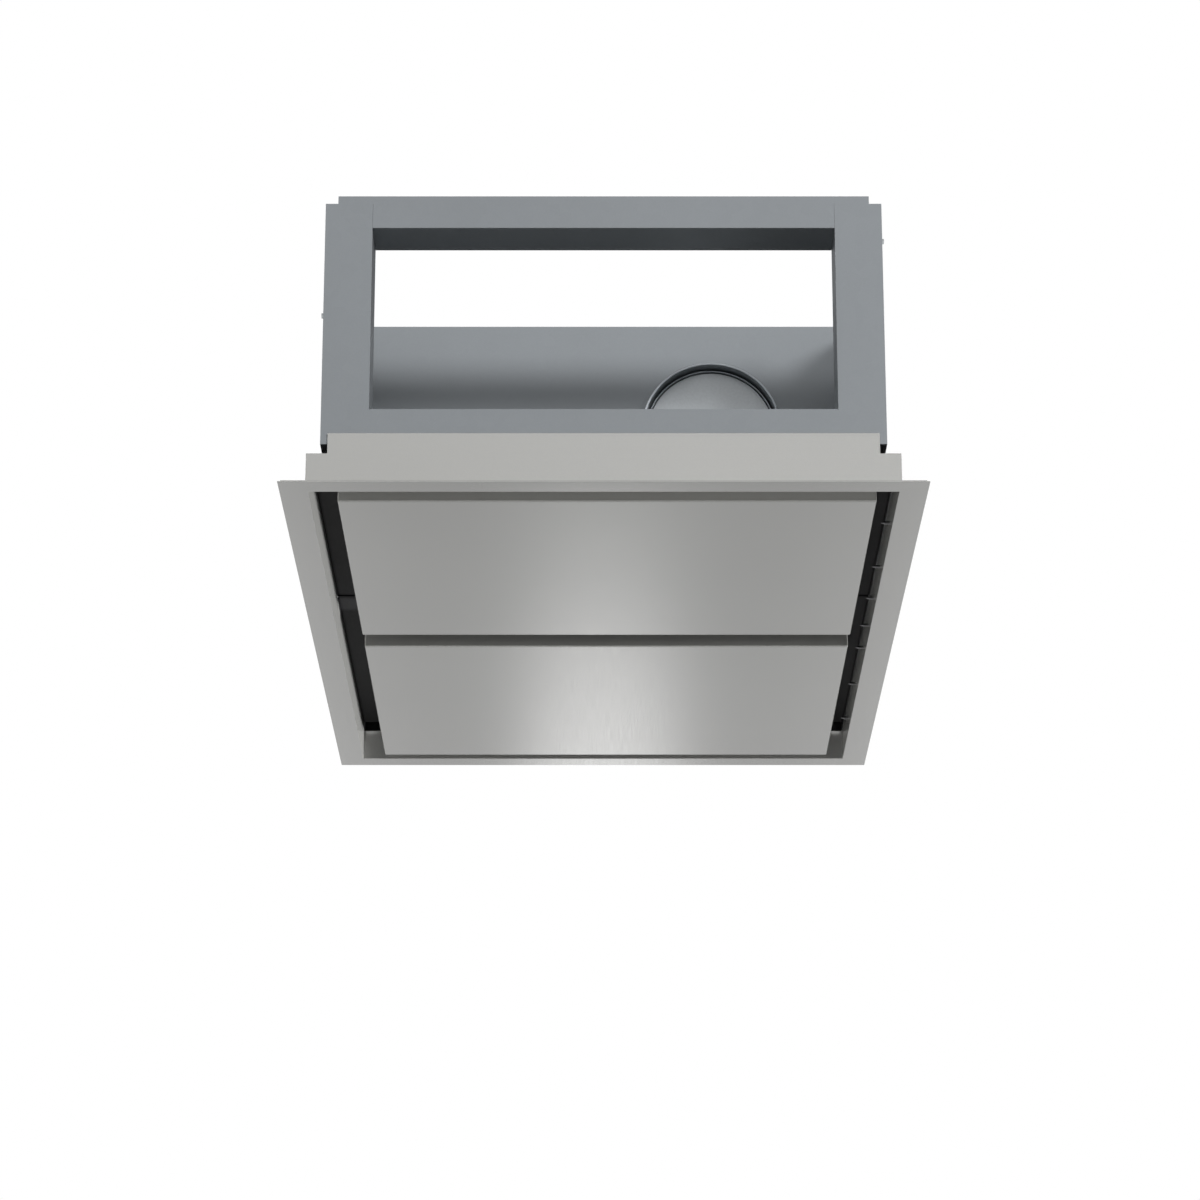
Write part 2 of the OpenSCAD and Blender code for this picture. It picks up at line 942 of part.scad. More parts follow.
module fan_box_screws() {
    color("dimgray")
        both_sides()
            at_box_screws() {
                rod_x(screw_r, [fan_box_x - fan_box_t - fan_box_t - screw_head_h, fan_box_x], 0, 0);
                rod_x(screw_head_r, [fan_box_x, fan_box_x + screw_head_h], 0, 0);
            }
}

// Scroll

// Radius of the spiral wall after a share of its sweep
function scroll_radius(share, start, stop) = start + (stop - start) * share;

// Outline of the scroll with its wall pushed out by grow
function scroll_outline(grow) =
    let (start = cutoff_r + grow, stop = outlet_x1 + grow, tongue = acos((outlet_x0 - grow) / start))
    concat(
        [for (i = [0:scroll_steps])
            let (share = i / scroll_steps, angle = -tongue - (360 - tongue) * share)
            scroll_radius(share, start, stop) * [cos(angle), sin(angle)]],
        [[stop, -mouth_y], [outlet_x0 - grow, -mouth_y]]);

module scroll_shape(grow, z) {
    translate([0, 0, z[0]])
        linear_extrude(z[1] - z[0])
            polygon(scroll_outline(grow));
}

module scroll_body() {
    floor_z = scroll_z + scroll_t;
    color("lightsteelblue")
        difference() {
            scroll_shape(scroll_t, [scroll_z, scroll_top_z - scroll_t]);
            scroll_shape(0, [floor_z, scroll_top_z]);
            rod_z(inlet_throat_r + inlet_t + inlet_hole_gap, 0, 0, [scroll_z - cut, floor_z + cut]);
        }
}

module at_motor_screws() {
    for (turn = [45:90:315])
        rotate([0, 0, turn])
            translate([motor_screw_place, 0, 0])
                children();
}

module scroll_top_plate() {
    plate = [scroll_top_z - scroll_t, scroll_top_z];
    color("lightsteelblue")
        difference() {
            scroll_shape(scroll_t, plate);
            at_motor_screws()
                rod_z(motor_screw_r + fit, 0, 0, [plate[0] - cut, plate[1] + cut]);
        }
}

// Bell from the plenum plate into the impeller's eye
module inlet_cone() {
    foot = plenum_z;
    throat = scroll_z;
    tip = impeller_z + impeller_t;
    color("silver")
        rotate_extrude()
            polygon([
                [inlet_mouth_r, foot],
                [inlet_mouth_r + inlet_flange_w, foot],
                [inlet_mouth_r + inlet_flange_w, foot + inlet_t],
                [inlet_mouth_r + inlet_t, foot + inlet_t],
                [inlet_throat_r + inlet_t, throat - inlet_throat_h],
                [inlet_throat_r + inlet_t, tip],
                [inlet_throat_r, tip],
                [inlet_throat_r, throat - inlet_throat_h]
            ]);
}

// Rubber feet between the plenum plate and the scroll
module rubber_mounts() {
    color("#2b2b2b")
        for (place = mount_place_shares * outlet_x1)
            rod_z(mount_r, place[0], place[1], [plenum_z, scroll_z]);
}

// Backward wheel: back plate, eye ring and straight blades
module impeller() {
    blade_l = impeller_r - eye_r;
    color("slategray")
        difference() {
            union() {
                rod_z(impeller_r, 0, 0, [impeller_top_z, impeller_top_z + impeller_t]);
                rod_z(impeller_r, 0, 0, [impeller_z, impeller_z + impeller_t]);
                for (i = [0:blade_count - 1])
                    rotate([0, 0, i * 360 / blade_count])
                        translate([(impeller_r + eye_r) / 2, 0, impeller_z])
                            rotate([0, 0, blade_turn])
                                translate([-blade_l / 2, -blade_t / 2, 0])
                                    cube([blade_l, blade_t, impeller_top_z - impeller_z + impeller_t]);
            }
            rod_z(eye_r, 0, 0, [impeller_z - cut, impeller_z + impeller_t + cut]);
            rod_z(rotor_r + rotor_seat, 0, 0, [impeller_top_z - cut, impeller_top_z + impeller_t + cut]);
        }
}

// Motor

// Rotor can with a flange on the impeller's back plate and a boss round the bearing
module motor_rotor() {
    color("gray")
        difference() {
            union() {
                rod_z(rotor_r, 0, 0, [rotor_z, rotor_top_z + rotor_wall]);
                rod_z(rotor_r + rotor_flange_w, 0, 0, [rotor_top_z, rotor_top_z + rotor_wall]);
            }
            difference() {
                rod_z(rotor_r - rotor_wall, 0, 0, [rotor_z + rotor_wall, rotor_top_z + rotor_wall + cut]);
                rod_z(boss_r, 0, 0, [rotor_z, rotor_z + rotor_wall + bearing_h]);
            }
            rod_z(bearing_r + run, 0, 0, [rotor_z + rotor_wall, rotor_z + rotor_wall + bearing_h + cut]);
            rod_z(shaft_r + fit, 0, 0, [rotor_z - cut, rotor_z + rotor_wall + cut]);
        }
}

module motor_bearing() {
    color("lightgray")
        difference() {
            rod_z(bearing_r, 0, 0, [rotor_z + rotor_wall, rotor_z + rotor_wall + bearing_h]);
            rod_z(shaft_r + run, 0, 0, [rotor_z + rotor_wall - cut, rotor_z + rotor_wall + bearing_h + cut]);
        }
}

module motor_shaft() {
    color("lightgray")
        rod_z(shaft_r, 0, 0, [rotor_z - shaft_tail, scroll_top_z - scroll_t]);
}

// Fixed flange under the scroll's top plate, with the tube that carries the stator
module motor_flange() {
    plate_z = scroll_top_z - scroll_t - flange_plate_h;
    color("gray")
        difference() {
            union() {
                rod_z(flange_r, 0, 0, [plate_z, scroll_top_z - scroll_t]);
                rod_z(tube_r, 0, 0, [rotor_z + core_lift, plate_z]);
            }
            rod_z(shaft_r + run, 0, 0, [rotor_z, scroll_top_z]);
            at_motor_screws()
                rod_z(motor_screw_r + fit, 0, 0, [plate_z - cut, scroll_top_z]);
        }
}

module motor_stator() {
    core_z = rotor_z + core_lift;
    color("dimgray")
        difference() {
            rod_z(core_r, 0, 0, [core_z, core_z + core_h]);
            rod_z(tube_r, 0, 0, [core_z - cut, core_z + core_h + cut]);
        }
}

// Winding heads above and below the stator's core
module motor_windings() {
    core_z = rotor_z + core_lift;
    color("peru")
        for (foot = [core_z - winding_h, core_z + core_h])
            difference() {
                rod_z(core_r - winding_in, 0, 0, [foot, foot + winding_h]);
                rod_z(tube_r + winding_in, 0, 0, [foot - cut, foot + winding_h + cut]);
            }
}

module motor_screws() {
    color("dimgray")
        at_motor_screws() {
            rod_z(motor_screw_r, 0, 0, [scroll_top_z - scroll_t - flange_plate_h, scroll_top_z]);
            rod_z(screw_head_r, 0, 0, [scroll_top_z, scroll_top_z + screw_head_h]);
        }
}

// Duct collar and damper

// Round tube on the fan box, with a bead at its mouth and a flange
module outlet_collar() {
    color("gainsboro")
        difference() {
            union() {
                rod_y(duct_r, outlet_x, [-collar_front_y, -fan_box_front], outlet_z);
                rod_y(bead_r, outlet_x, [-collar_front_y, bead_w - collar_front_y], outlet_z);
                rod_y(duct_r + duct_flange_w, outlet_x, [-fan_box_front - duct_t, -fan_box_front], outlet_z);
            }
            rod_y(duct_r - duct_t, outlet_x, [-collar_front_y - cut, cut - fan_box_front], outlet_z);
        }
}

module damper_ring() {
    ring_y = [ring_recess - collar_front_y, -fan_box_front];
    color("lightgray")
        difference() {
            union() {
                rod_y(ring_r, outlet_x, ring_y, outlet_z);
                rod_y(duct_r - duct_t - run, outlet_x, [-fan_box_front - ring_flange_w, -fan_box_front], outlet_z);
            }
            rod_y(ring_r - ring_t, outlet_x, [ring_y[0] - cut, ring_y[1] + cut], outlet_z);
            rod_x(spindle_r + run, [outlet_x - ring_r - cut, outlet_x + ring_r + cut], -spindle_y, outlet_z);
        }
}

module damper_spindle() {
    color("silver")
        rod_x(spindle_r, [outlet_x - ring_r, outlet_x + ring_r], -spindle_y, outlet_z);
}

// Half disc above or below the spindle, with its knuckles, about the outlet's centre
module damper_flap(knuckles, notches) {
    difference() {
        union() {
            intersection() {
                rod_y(flap_r, 0, [-flap_t / 2, flap_t / 2], 0);
                slab([-flap_r, flap_r], [-flap_t, flap_t], [flap_split, flap_r]);
            }
            for (span = knuckles)
                rod_x(knuckle_r, span, 0, 0);
        }
        rod_x(spindle_r + run, [-flap_r, flap_r], 0, 0);
        for (span = notches)
            slab([span[0] - flap_notch, span[1] + flap_notch], [-knuckle_r, knuckle_r],
                 [0, knuckle_r + flap_notch]);
    }
}

module upper_damper_flap() {
    color("silver")
        translate([outlet_x, -spindle_y, outlet_z])
            damper_flap([[-flap_outer_b, -flap_outer_a], [flap_outer_a, flap_outer_b]],
                        [[-flap_inner, flap_inner]]);
}

module lower_damper_flap() {
    color("silver")
        translate([outlet_x, -spindle_y, outlet_z])
            mirror([0, 0, 1])
                damper_flap([[-flap_inner, flap_inner]],
                            [[-flap_outer_b, -flap_outer_a], [flap_outer_a, flap_outer_b]]);
}

// Control box

module at_board_posts() {
    for (x = [-1, 1], y = [-1, 1])
        translate([control_x + x * (control_w / 2 - post_in), control_y + y * (control_l / 2 - post_in), 0])
            children();
}

module control_box() {
    half_w = control_w / 2;
    half_l = control_l / 2;
    color("#3a3a3a") {
        difference() {
            slab([control_x - half_w, control_x + half_w], [control_y - half_l, control_y + half_l],
                 [plenum_z, plenum_z + control_h]);
            slab([control_x - half_w + control_t, control_x + half_w - control_t],
                 [control_y - half_l + control_t, control_y + half_l - control_t],
                 [plenum_z + control_t, plenum_z + control_h + cut]);
            rod_x(gland_bore_r, [control_x - half_w - cut, control_x - half_w + control_t + cut],
                  control_y, plenum_z + control_h / 2);
        }
        at_board_posts()
            rod_z(post_r, 0, 0, [plenum_z + control_t, plenum_z + board_up]);
    }
}

module control_box_lid() {
    half_w = control_w / 2;
    half_l = control_l / 2;
    color("#444444")
        slab([control_x - half_w, control_x + half_w], [control_y - half_l, control_y + half_l],
             [plenum_z + control_h, plenum_z + control_h + control_lid_t]);
}

module circuit_board() {
    half_w = control_w / 2 - board_gap;
    half_l = control_l / 2 - board_gap;
    top_z = plenum_z + board_up + board_t;
    color("darkgreen") {
        slab([control_x - half_w, control_x + half_w], [control_y - half_l, control_y + half_l],
             [plenum_z + board_up, top_z]);
        rod_z(capacitor_r, control_x + half_w / 2, control_y + half_l / 2, [top_z, top_z + capacitor_h]);
        rod_z(capacitor_r, control_x + half_w / 2, control_y, [top_z, top_z + capacitor_h]);
    }
}

module terminal_block() {
    pitch = terminal_w / terminal_ways;
    foot_z = plenum_z + board_up + board_t;
    mid_y = control_y - control_l / 2 + terminal_in;
    color("ivory")
        difference() {
            slab([control_x - terminal_w / 2, control_x + terminal_w / 2],
                 [mid_y - terminal_l / 2, mid_y + terminal_l / 2], [foot_z, foot_z + terminal_h]);
            for (i = [0:terminal_ways - 1])
                rod_z(terminal_bore_r, control_x - terminal_w / 2 + (i + 0.5) * pitch, mid_y,
                      [foot_z + terminal_h / 2, foot_z + terminal_h + cut]);
        }
}

// Cable gland through the left side sheet, with a hexagon outside and a nut inside
module cable_gland() {
    color("#303030")
        translate([-side_x, gland_y, plenum_z + gland_up])
            rotate([0, -90, 0])
                difference() {
                    union() {
                        cylinder(r = gland_hex_r, h = gland_hex_h, $fn = 6);
                        cylinder(r = gland_r, h = gland_hex_h + gland_nose_h);
                        translate([0, 0, -sheet_t - gland_nut_h])
                            cylinder(r = gland_r, h = sheet_t + gland_nut_h + cut);
                        translate([0, 0, -sheet_t - gland_nut_h])
                            cylinder(r = gland_hex_r, h = gland_nut_h, $fn = 6);
                    }
                    translate([0, 0, -sheet_t - gland_nut_h - cut])
                        cylinder(r = gland_bore_r, h = sheet_t + gland_nut_h + gland_hex_h + gland_nose_h + cut + cut);
                }
}

front_end_frame();
rear_end_frame();
front_top_beam();
rear_top_beam();
left_side_panel();
right_side_panel();
left_side_screws();
right_side_screws();
beam_rivets();
trim_frame();
collar_screws();
front_filter_housing();
rear_filter_housing();
rear_closing_strip();
plenum_plate();
front_filter_frame();
front_filter_mesh();
front_filter_latch();
rear_filter_frame();
rear_filter_mesh();
rear_filter_latch();
front_panel_shell();
front_panel_back();
front_hinge_leaves();
front_hinge_brackets();
front_hinge_pins();
front_strike_plates();
rear_panel_shell();
rear_panel_back();
rear_hinge_leaves();
rear_hinge_brackets();
rear_hinge_pins();
rear_strike_plates();
catch_housings();
catch_magnets();
fan_box_body();
fan_box_lid();
fan_box_screws();
scroll_body();
scroll_top_plate();
inlet_cone();
rubber_mounts();
impeller();
motor_rotor();
motor_stator();
motor_windings();
motor_shaft();
motor_bearing();
motor_flange();
motor_screws();
outlet_collar();
damper_ring();
damper_spindle();
upper_damper_flap();
lower_damper_flap();
control_box();
control_box_lid();
circuit_board();
terminal_block();
cable_gland();
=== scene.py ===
"""Ceiling range hood: the pieces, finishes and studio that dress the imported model.

Laid out as an add-on and run as a script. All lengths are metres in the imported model's frame.
"""

from math import cos, pi, radians, sin

import bmesh
import bpy
from mathutils import Matrix, Vector


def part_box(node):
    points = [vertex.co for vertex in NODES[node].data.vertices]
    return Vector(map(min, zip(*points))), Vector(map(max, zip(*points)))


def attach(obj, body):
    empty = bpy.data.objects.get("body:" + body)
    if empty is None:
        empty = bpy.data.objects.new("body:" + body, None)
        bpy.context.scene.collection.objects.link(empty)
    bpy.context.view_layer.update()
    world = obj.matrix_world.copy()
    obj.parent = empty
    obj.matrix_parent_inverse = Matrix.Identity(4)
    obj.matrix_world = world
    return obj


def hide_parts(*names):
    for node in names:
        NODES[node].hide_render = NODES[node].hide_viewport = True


bl_info = {
    "name": "Ceiling range hood",
    "version": (1, 0, 0),
    "blender": (4, 5, 0),
    "location": "3D View > Sidebar > Hood",
    "description": "Folded sheets, filters, fasteners, duct and finishes of a ceiling range hood",
    "category": "Object",
}

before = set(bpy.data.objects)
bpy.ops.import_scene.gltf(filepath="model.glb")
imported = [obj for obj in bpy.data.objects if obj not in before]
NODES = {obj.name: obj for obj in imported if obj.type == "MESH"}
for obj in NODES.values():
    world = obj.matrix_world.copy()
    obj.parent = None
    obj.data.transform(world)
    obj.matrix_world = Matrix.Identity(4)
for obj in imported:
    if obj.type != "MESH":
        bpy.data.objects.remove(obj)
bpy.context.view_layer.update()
HOME = "mounting_frame"

# Distance under which two points count as one
TOUCH = 0.00001
# Part of a face's normal along an axis, from which the face looks that way
FACING = 0.9


# Sizes and colours that a user would change


def length_setting(name, description, default):
    return bpy.props.FloatProperty(name=name, description=description, default=default, unit="LENGTH")


def colour_setting(name, description, default):
    return bpy.props.FloatVectorProperty(
        name=name, description=description, default=default, size=3, subtype="COLOR", min=0, max=1
    )


class HoodSizes(bpy.types.PropertyGroup):
    """Small sizes of the folded and turned pieces."""

    sheet_round: length_setting("Sheet edge", "Rounding of the stainless sheet's edges", 0.0005)
    panel_fold: length_setting("Panel fold", "Outer radius of the folds of both panels", 0.0014)
    cell_x: length_setting("Mesh cell, across", "Long way of a cell of the expanded mesh", 0.017)
    cell_y: length_setting("Mesh cell, along", "Short way of a cell of the expanded mesh", 0.0105)
    strand: length_setting("Mesh strand", "Thickness of the expanded mesh's strands", 0.0011)
    thread_pitch: length_setting("Thread pitch", "Pitch of the self-tapping screws", 0.0014)


class HoodColours(bpy.types.PropertyGroup):
    """Main colours, as scene-linear values."""

    zinc: colour_setting("Zinc", "Galvanised sheet", (0.255, 0.272, 0.287))
    stainless: colour_setting("Stainless", "Brushed stainless sheet", (0.43, 0.43, 0.415))
    black: colour_setting("Black", "Black enamel of the filter housings", (0.0045, 0.0045, 0.0047))


def sizes():
    return bpy.context.scene.hood_sizes


def colours():
    return bpy.context.scene.hood_colours


# Modelling helpers


def deselect():
    if bpy.context.object and bpy.context.object.mode != "OBJECT":
        bpy.ops.object.mode_set(mode="OBJECT")
    bpy.ops.object.select_all(action="DESELECT")


def only(obj):
    deselect()
    obj.select_set(True)
    bpy.context.view_layer.objects.active = obj


def settle(obj):
    """Puts the piece's place and turn into its mesh."""
    only(obj)
    bpy.ops.object.transform_apply(location=True, rotation=True, scale=True)


def box_piece(name, low, high):
    """A block between two corners."""
    low, high = Vector(low), Vector(high)
    deselect()
    bpy.ops.mesh.primitive_cube_add(size=1, location=(low + high) / 2)
    obj = bpy.context.object
    obj.name = name
    obj.scale = high - low
    settle(obj)
    return obj


def enter_edit(obj):
    only(obj)
    bpy.ops.object.mode_set(mode="EDIT")


def pick(obj, kind, wanted):
    """Goes into edit mode with only the wanted faces or edges selected."""
    enter_edit(obj)
    bpy.ops.mesh.select_mode(type=kind)
    bpy.ops.mesh.select_all(action="DESELECT")
    shape = bmesh.from_edit_mesh(obj.data)
    for element in shape.faces if kind == "FACE" else shape.edges:
        element.select_set(bool(wanted(element)))
    bmesh.update_edit_mesh(obj.data)


def pick_all(obj):
    enter_edit(obj)
    bpy.ops.mesh.select_all(action="SELECT")


def leave_edit():
    bpy.ops.object.mode_set(mode="OBJECT")


def looks_up(face):
    return face.normal.z > FACING


def delete_picked_faces():
    bpy.ops.mesh.delete(type="ONLY_FACE")
    leave_edit()


def extrude_up(height):
    bpy.ops.mesh.extrude_region_move(TRANSFORM_OT_translate={"value": (0, 0, height)})


def finish_with(obj, kind, **settings):
    """Adds one modifier and applies it."""
    only(obj)
    modifier = obj.modifiers.new(kind.title(), kind)
    for key, value in settings.items():
        setattr(modifier, key, value)
    bpy.ops.object.modifier_apply(modifier=modifier.name)


def round_edges(obj, width, segments=2):
    """Rounds the edges between faces that turn by more than 40 degrees."""
    limit = radians(40)
    finish_with(obj, "BEVEL", width=width, segments=segments, limit_method="ANGLE", angle_limit=limit)


def open_tray(name, low, high, fold, sheet):
    """A block without its top, with round folds, made of sheet inwards."""
    obj = box_piece(name, low, high)
    pick(obj, "FACE", looks_up)
    delete_picked_faces()
    round_edges(obj, fold, 4)
    finish_with(obj, "SOLIDIFY", thickness=sheet, offset=-1)
    return obj


def smooth(obj, angle=35):
    """Smooths the rounded edges and keeps the broad faces flat."""
    only(obj)
    bpy.ops.object.shade_smooth_by_angle(angle=radians(angle))
    finish_with(obj, "WEIGHTED_NORMAL", keep_sharp=True)


def outward(obj):
    """Merges doubles and turns the faces outwards."""
    pick_all(obj)
    bpy.ops.mesh.remove_doubles(threshold=TOUCH)
    bpy.ops.mesh.normals_make_consistent(inside=False)
    leave_edit()


def join(name, parts):
    """Makes one object of several parts."""
    deselect()
    for part in parts:
        part.select_set(True)
    bpy.context.view_layer.objects.active = parts[0]
    if len(parts) > 1:
        bpy.ops.object.join()
    obj = bpy.context.object
    obj.name = name
    return obj


def set_down(obj, place, axis=(0, 0, 1)):
    """Turns a piece made along +Z onto an axis, moves it to its place and settles it."""
    turn = Vector((0, 0, 1)).rotation_difference(Vector(axis)).to_matrix().to_4x4()
    obj.matrix_world = Matrix.Translation(Vector(place)) @ turn
    settle(obj)
    return obj


def turned(name, profile, segments=48, closed=False):
    """Turns a profile of (radius, height) points round the Z axis, ring by ring."""
    radius, height = profile[0]
    deselect()
    bpy.ops.mesh.primitive_circle_add(
        vertices=segments, radius=radius, location=(0, 0, height), fill_type="NOTHING"
    )
    obj = bpy.context.object
    obj.name = name
    settle(obj)
    pick_all(obj)
    for next_radius, next_height in profile[1:]:
        extrude_up(next_height - height)
        share = next_radius / radius
        bpy.ops.transform.resize(value=(share, share, 1), center_override=(0, 0, next_height))
        radius, height = next_radius, next_height
    if not closed:
        bpy.ops.mesh.edge_face_add()
        leave_edit()
        pick(obj, "EDGE", lambda e: e.is_boundary)
        bpy.ops.mesh.edge_face_add()
    leave_edit()
    outward(obj)
    return obj


def dress(obj, material):
    obj.data.materials.clear()
    obj.data.materials.append(material)


def hand_over(obj, body, slot, *nodes):
    """Declares what the piece rides on and hides the nodes it stands for; the slot, meant for its finish, is
    not used.
    """
    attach(obj, body)
    if nodes:
        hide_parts(*nodes)


def finish_piece(name, parts, finish, slot, *nodes, body=HOME, angle=35):
    """Joins the parts of a piece, smooths them, gives them their finish and hands the piece over."""
    obj = join(name, parts)
    smooth(obj, angle)
    dress(obj, FINISHES[finish])
    hand_over(obj, body, slot, *nodes)


# Materials


class Graph:
    """Adds and links shader nodes in one tree."""

    def __init__(self, tree):
        self.tree = tree
        self.coordinates = self.add("ShaderNodeTexCoord").outputs

    def add(self, kind, **settings):
        node = self.tree.nodes.new(kind)
        for key, value in settings.items():
            setattr(node, key, value)
        return node

    def link(self, start, end):
        self.tree.links.new(start, end)

    def feed(self, socket, value):
        """Links the output of another node, or sets a plain value."""
        if isinstance(value, bpy.types.NodeSocket):
            self.link(value, socket)
        else:
            socket.default_value = value

    def fill(self, node, **values):
        """Feeds a node's inputs by name: from_min is the input From Min."""
        for key, value in values.items():
            self.feed(node.inputs[key.replace("_", " ").title()], value)
        return node.outputs

    def span(self, value, low, high, start=0.3, stop=0.7):
        """Goes from low to high while the value goes from start to stop."""
        node = self.add("ShaderNodeMapRange")
        return self.fill(node, value=value, from_min=start, from_max=stop, to_min=low, to_max=high)["Result"]

    def product(self, first, *others):
        for other in others:
            first = self.calc("MULTIPLY", first, other)
        return first

    def calc(self, operation, *values):
        node = self.add("ShaderNodeMath", operation=operation)
        for socket, value in zip(node.inputs, values):
            self.feed(socket, value)
        return node.outputs["Value"]

    def part(self, vector, axis):
        """One coordinate of a vector."""
        return self.fill(self.add("ShaderNodeSeparateXYZ"), vector=vector)[axis]

    def source(self, kind, strength, colour=(1, 1, 1, 1)):
        """A shader that gives off light."""
        return self.fill(self.add(kind), color=colour, strength=strength)[0]

    def mixed(self, share, first, second):
        """The first shader, with a share of the second."""
        node = self.add("ShaderNodeMixShader")
        for socket, value in zip(node.inputs, (share, first, second)):
            self.feed(socket, value)
        return node.outputs["Shader"]


class Mixer(Graph):
    """Builds one node material around a Principled shader."""

    def __init__(self, name):
        self.material = bpy.data.materials.new(name)
        self.material.use_nodes = True
        super().__init__(self.material.node_tree)
        self.shader = self.tree.nodes["Principled BSDF"]

    def pattern(self, kind, scale, stretch=(1, 1, 1), **settings):
        """A texture that stays with the piece."""
        mapping = self.add("ShaderNodeMapping")
        place = self.fill(mapping, vector=self.coordinates["Object"], scale=stretch)["Vector"]
        node = self.add(kind, **settings)
        self.fill(node, vector=place, scale=scale)
        return node

    def noise(self, scale, detail=2, stretch=(1, 1, 1)):
        return self.fill(self.pattern("ShaderNodeTexNoise", scale, stretch), detail=detail)["Fac"]

    def cells(self, scale):
        """A random grey for each crystal."""
        node = self.pattern("ShaderNodeTexVoronoi", scale)
        return self.fill(self.add("ShaderNodeSeparateColor"), color=node.outputs["Color"])["Red"]

    def blend(self, factor, first, second):
        node = self.add("ShaderNodeMix", data_type="FLOAT")
        return self.fill(node, factor=factor, a=first, b=second)["Result"]

    def flat_share(self):
        """1 on faces that lie flat, 0 on upright ones."""
        geometry = self.add("ShaderNodeNewGeometry")
        level = self.calc("ABSOLUTE", self.part(geometry.outputs["Normal"], "Z"))
        return self.span(level, 0, 1, 0.4, 0.7)

    def tint(self, colour, shade):
        """The colour times a grey that varies round 1."""
        node = self.add("ShaderNodeVectorMath", operation="SCALE")
        self.fill(self.shader, base_color=self.fill(node, vector=colour, scale=shade)["Vector"])

    def rough(self, value):
        self.fill(self.shader, roughness=value)

    def bump(self, height, strength, distance):
        node = self.add("ShaderNodeBump")
        relief = self.fill(node, strength=strength, distance=distance, height=height)
        self.fill(self.shader, normal=relief["Normal"])

    def set(self, **values):
        for key, value in values.items():
            socket = "Specular IOR Level" if key == "specular" else key.title()
            self.feed(self.shader.inputs[socket], value)


def zinc_sheet(name, colour, crystal=90):
    """Hot-dip zinc: faint crystals, soft cloudy patches and a dull sheen."""
    mix = Mixer(name)
    crystals = mix.span(mix.cells(crystal), 0.985, 1.015, 0, 1)
    clouds = mix.span(mix.noise(4, 4), 0.97, 1.03)
    grain = mix.span(mix.noise(700, 2), 0.985, 1.015)
    mix.tint(colour, mix.product(crystals, clouds, grain))
    mix.rough(mix.span(mix.cells(crystal), 0.4, 0.46, 0, 1))
    mix.bump(mix.noise(420, 3), 0.02, 0.0004)
    mix.set(metallic=0.35, specular=0.25)
    return mix.material


def brushed_stainless(name, colour, side_shine=0.5, flat_shine=0.97, flat_painted_shade=0.47):
    """Brushed sheet with a fine speckle: streaks run level on upright faces, along the hood on flat ones, and
    flat faces carry a painted shade.
    """
    mix = Mixer(name)
    lies_flat = mix.flat_share()
    upright = mix.noise(1, 3, (14, 14, 1600))
    flat = mix.noise(1, 3, (1600, 14, 14))
    streaks = mix.blend(lies_flat, upright, flat)
    speckle = mix.noise(1900, 1)
    clouds = mix.span(mix.noise(3, 3), 0.985, 1.015)
    lines, dots = mix.span(streaks, 0.994, 1.006), mix.span(speckle, 0.96, 1.04)
    # Painted shade: the colour of flat faces is darkened, so the panels and the flange read darker than the
    # upright sides
    mix.tint(colour, mix.product(lines, dots, mix.span(lies_flat, 1.0, flat_painted_shade, 0, 1), clouds))
    mix.rough(mix.span(streaks, 0.2, 0.24))
    mix.bump(mix.calc("ADD", streaks, speckle), 0.01, 0.0002)
    mix.set(metallic=mix.span(lies_flat, side_shine, flat_shine, 0, 1))
    return mix.material


def grained(name, colour, grain, patches, tones, roughness, relief, **values):
    """A skin with a fine grain and broad patches."""
    mix = Mixer(name)
    skin = mix.noise(*grain)
    mix.tint(colour, mix.span(mix.noise(*patches), *tones))
    mix.rough(mix.span(skin, *roughness))
    mix.bump(skin, *relief)
    mix.set(**values)
    return mix.material


def black_enamel(name, colour):
    """Powder coat: a fine orange-peel skin."""
    return grained(name, colour, (900, 2), (12, 3), (0.85, 1.2), (0.42, 0.6), (0.15, 0.0003), specular=0.02)


def cast_metal(name, colour):
    """Die-cast skin: coarse grain and dull patches."""
    return grained(name, colour, (500, 4), (40, 4), (0.88, 1.1), (0.45, 0.65), (0.3, 0.0004), metallic=0.85)


def moulded_plastic(name, colour, roughness=(0.42, 0.55), texture=800):
    """Moulded skin with a spark-eroded texture."""
    return grained(name, colour, (texture, 3), (25, 2), (0.94, 1.06), roughness, (0.12, 0.0003), specular=0.45)


def soft_rubber(name, colour):
    """Rubber: a dull skin with a fine grain."""
    return grained(name, colour, (650, 3), (30, 3), (0.85, 1.2), (0.7, 0.85), (0.2, 0.0004), specular=0.25)


def satin_metal(name, colour, roughness, scratch=600, metallic=0.9):
    """Rolled, turned or plated metal with fine marks."""
    mix = Mixer(name)
    marks = mix.noise(1, 3, (scratch, 40, scratch))
    patches = mix.noise(18, 3)
    mix.tint(colour, mix.product(mix.span(marks, 0.95, 1.05), mix.span(patches, 0.95, 1.05)))
    mix.rough(mix.span(marks, *roughness))
    mix.bump(marks, 0.05, 0.0002)
    mix.set(metallic=metallic)
    return mix.material


def wound_wire(name, colour):
    """Enamelled wire, turn beside turn."""
    mix = Mixer(name)
    turns = mix.pattern("ShaderNodeTexWave", 420, wave_type="RINGS", rings_direction="Z")
    mix.fill(turns, distortion=0.6)
    mix.tint(colour, mix.span(turns.outputs["Fac"], 0.7, 1.1, 0, 1))
    mix.rough(mix.span(turns.outputs["Fac"], 0.25, 0.4, 0, 1))
    mix.bump(turns.outputs["Fac"], 0.6, 0.0004)
    mix.set(metallic=0.8)
    return mix.material


def laminated_steel(name, colour):
    """A stack of thin sheets, seen edge-on."""
    mix = Mixer(name)
    sheets = mix.pattern("ShaderNodeTexWave", 620, wave_type="BANDS", bands_direction="Z")
    mix.tint(colour, mix.span(sheets.outputs["Fac"], 0.75, 1.1, 0, 1))
    mix.rough(mix.span(mix.noise(300, 2), 0.4, 0.6))
    mix.bump(sheets.outputs["Fac"], 0.5, 0.0003)
    mix.set(metallic=0.8)
    return mix.material


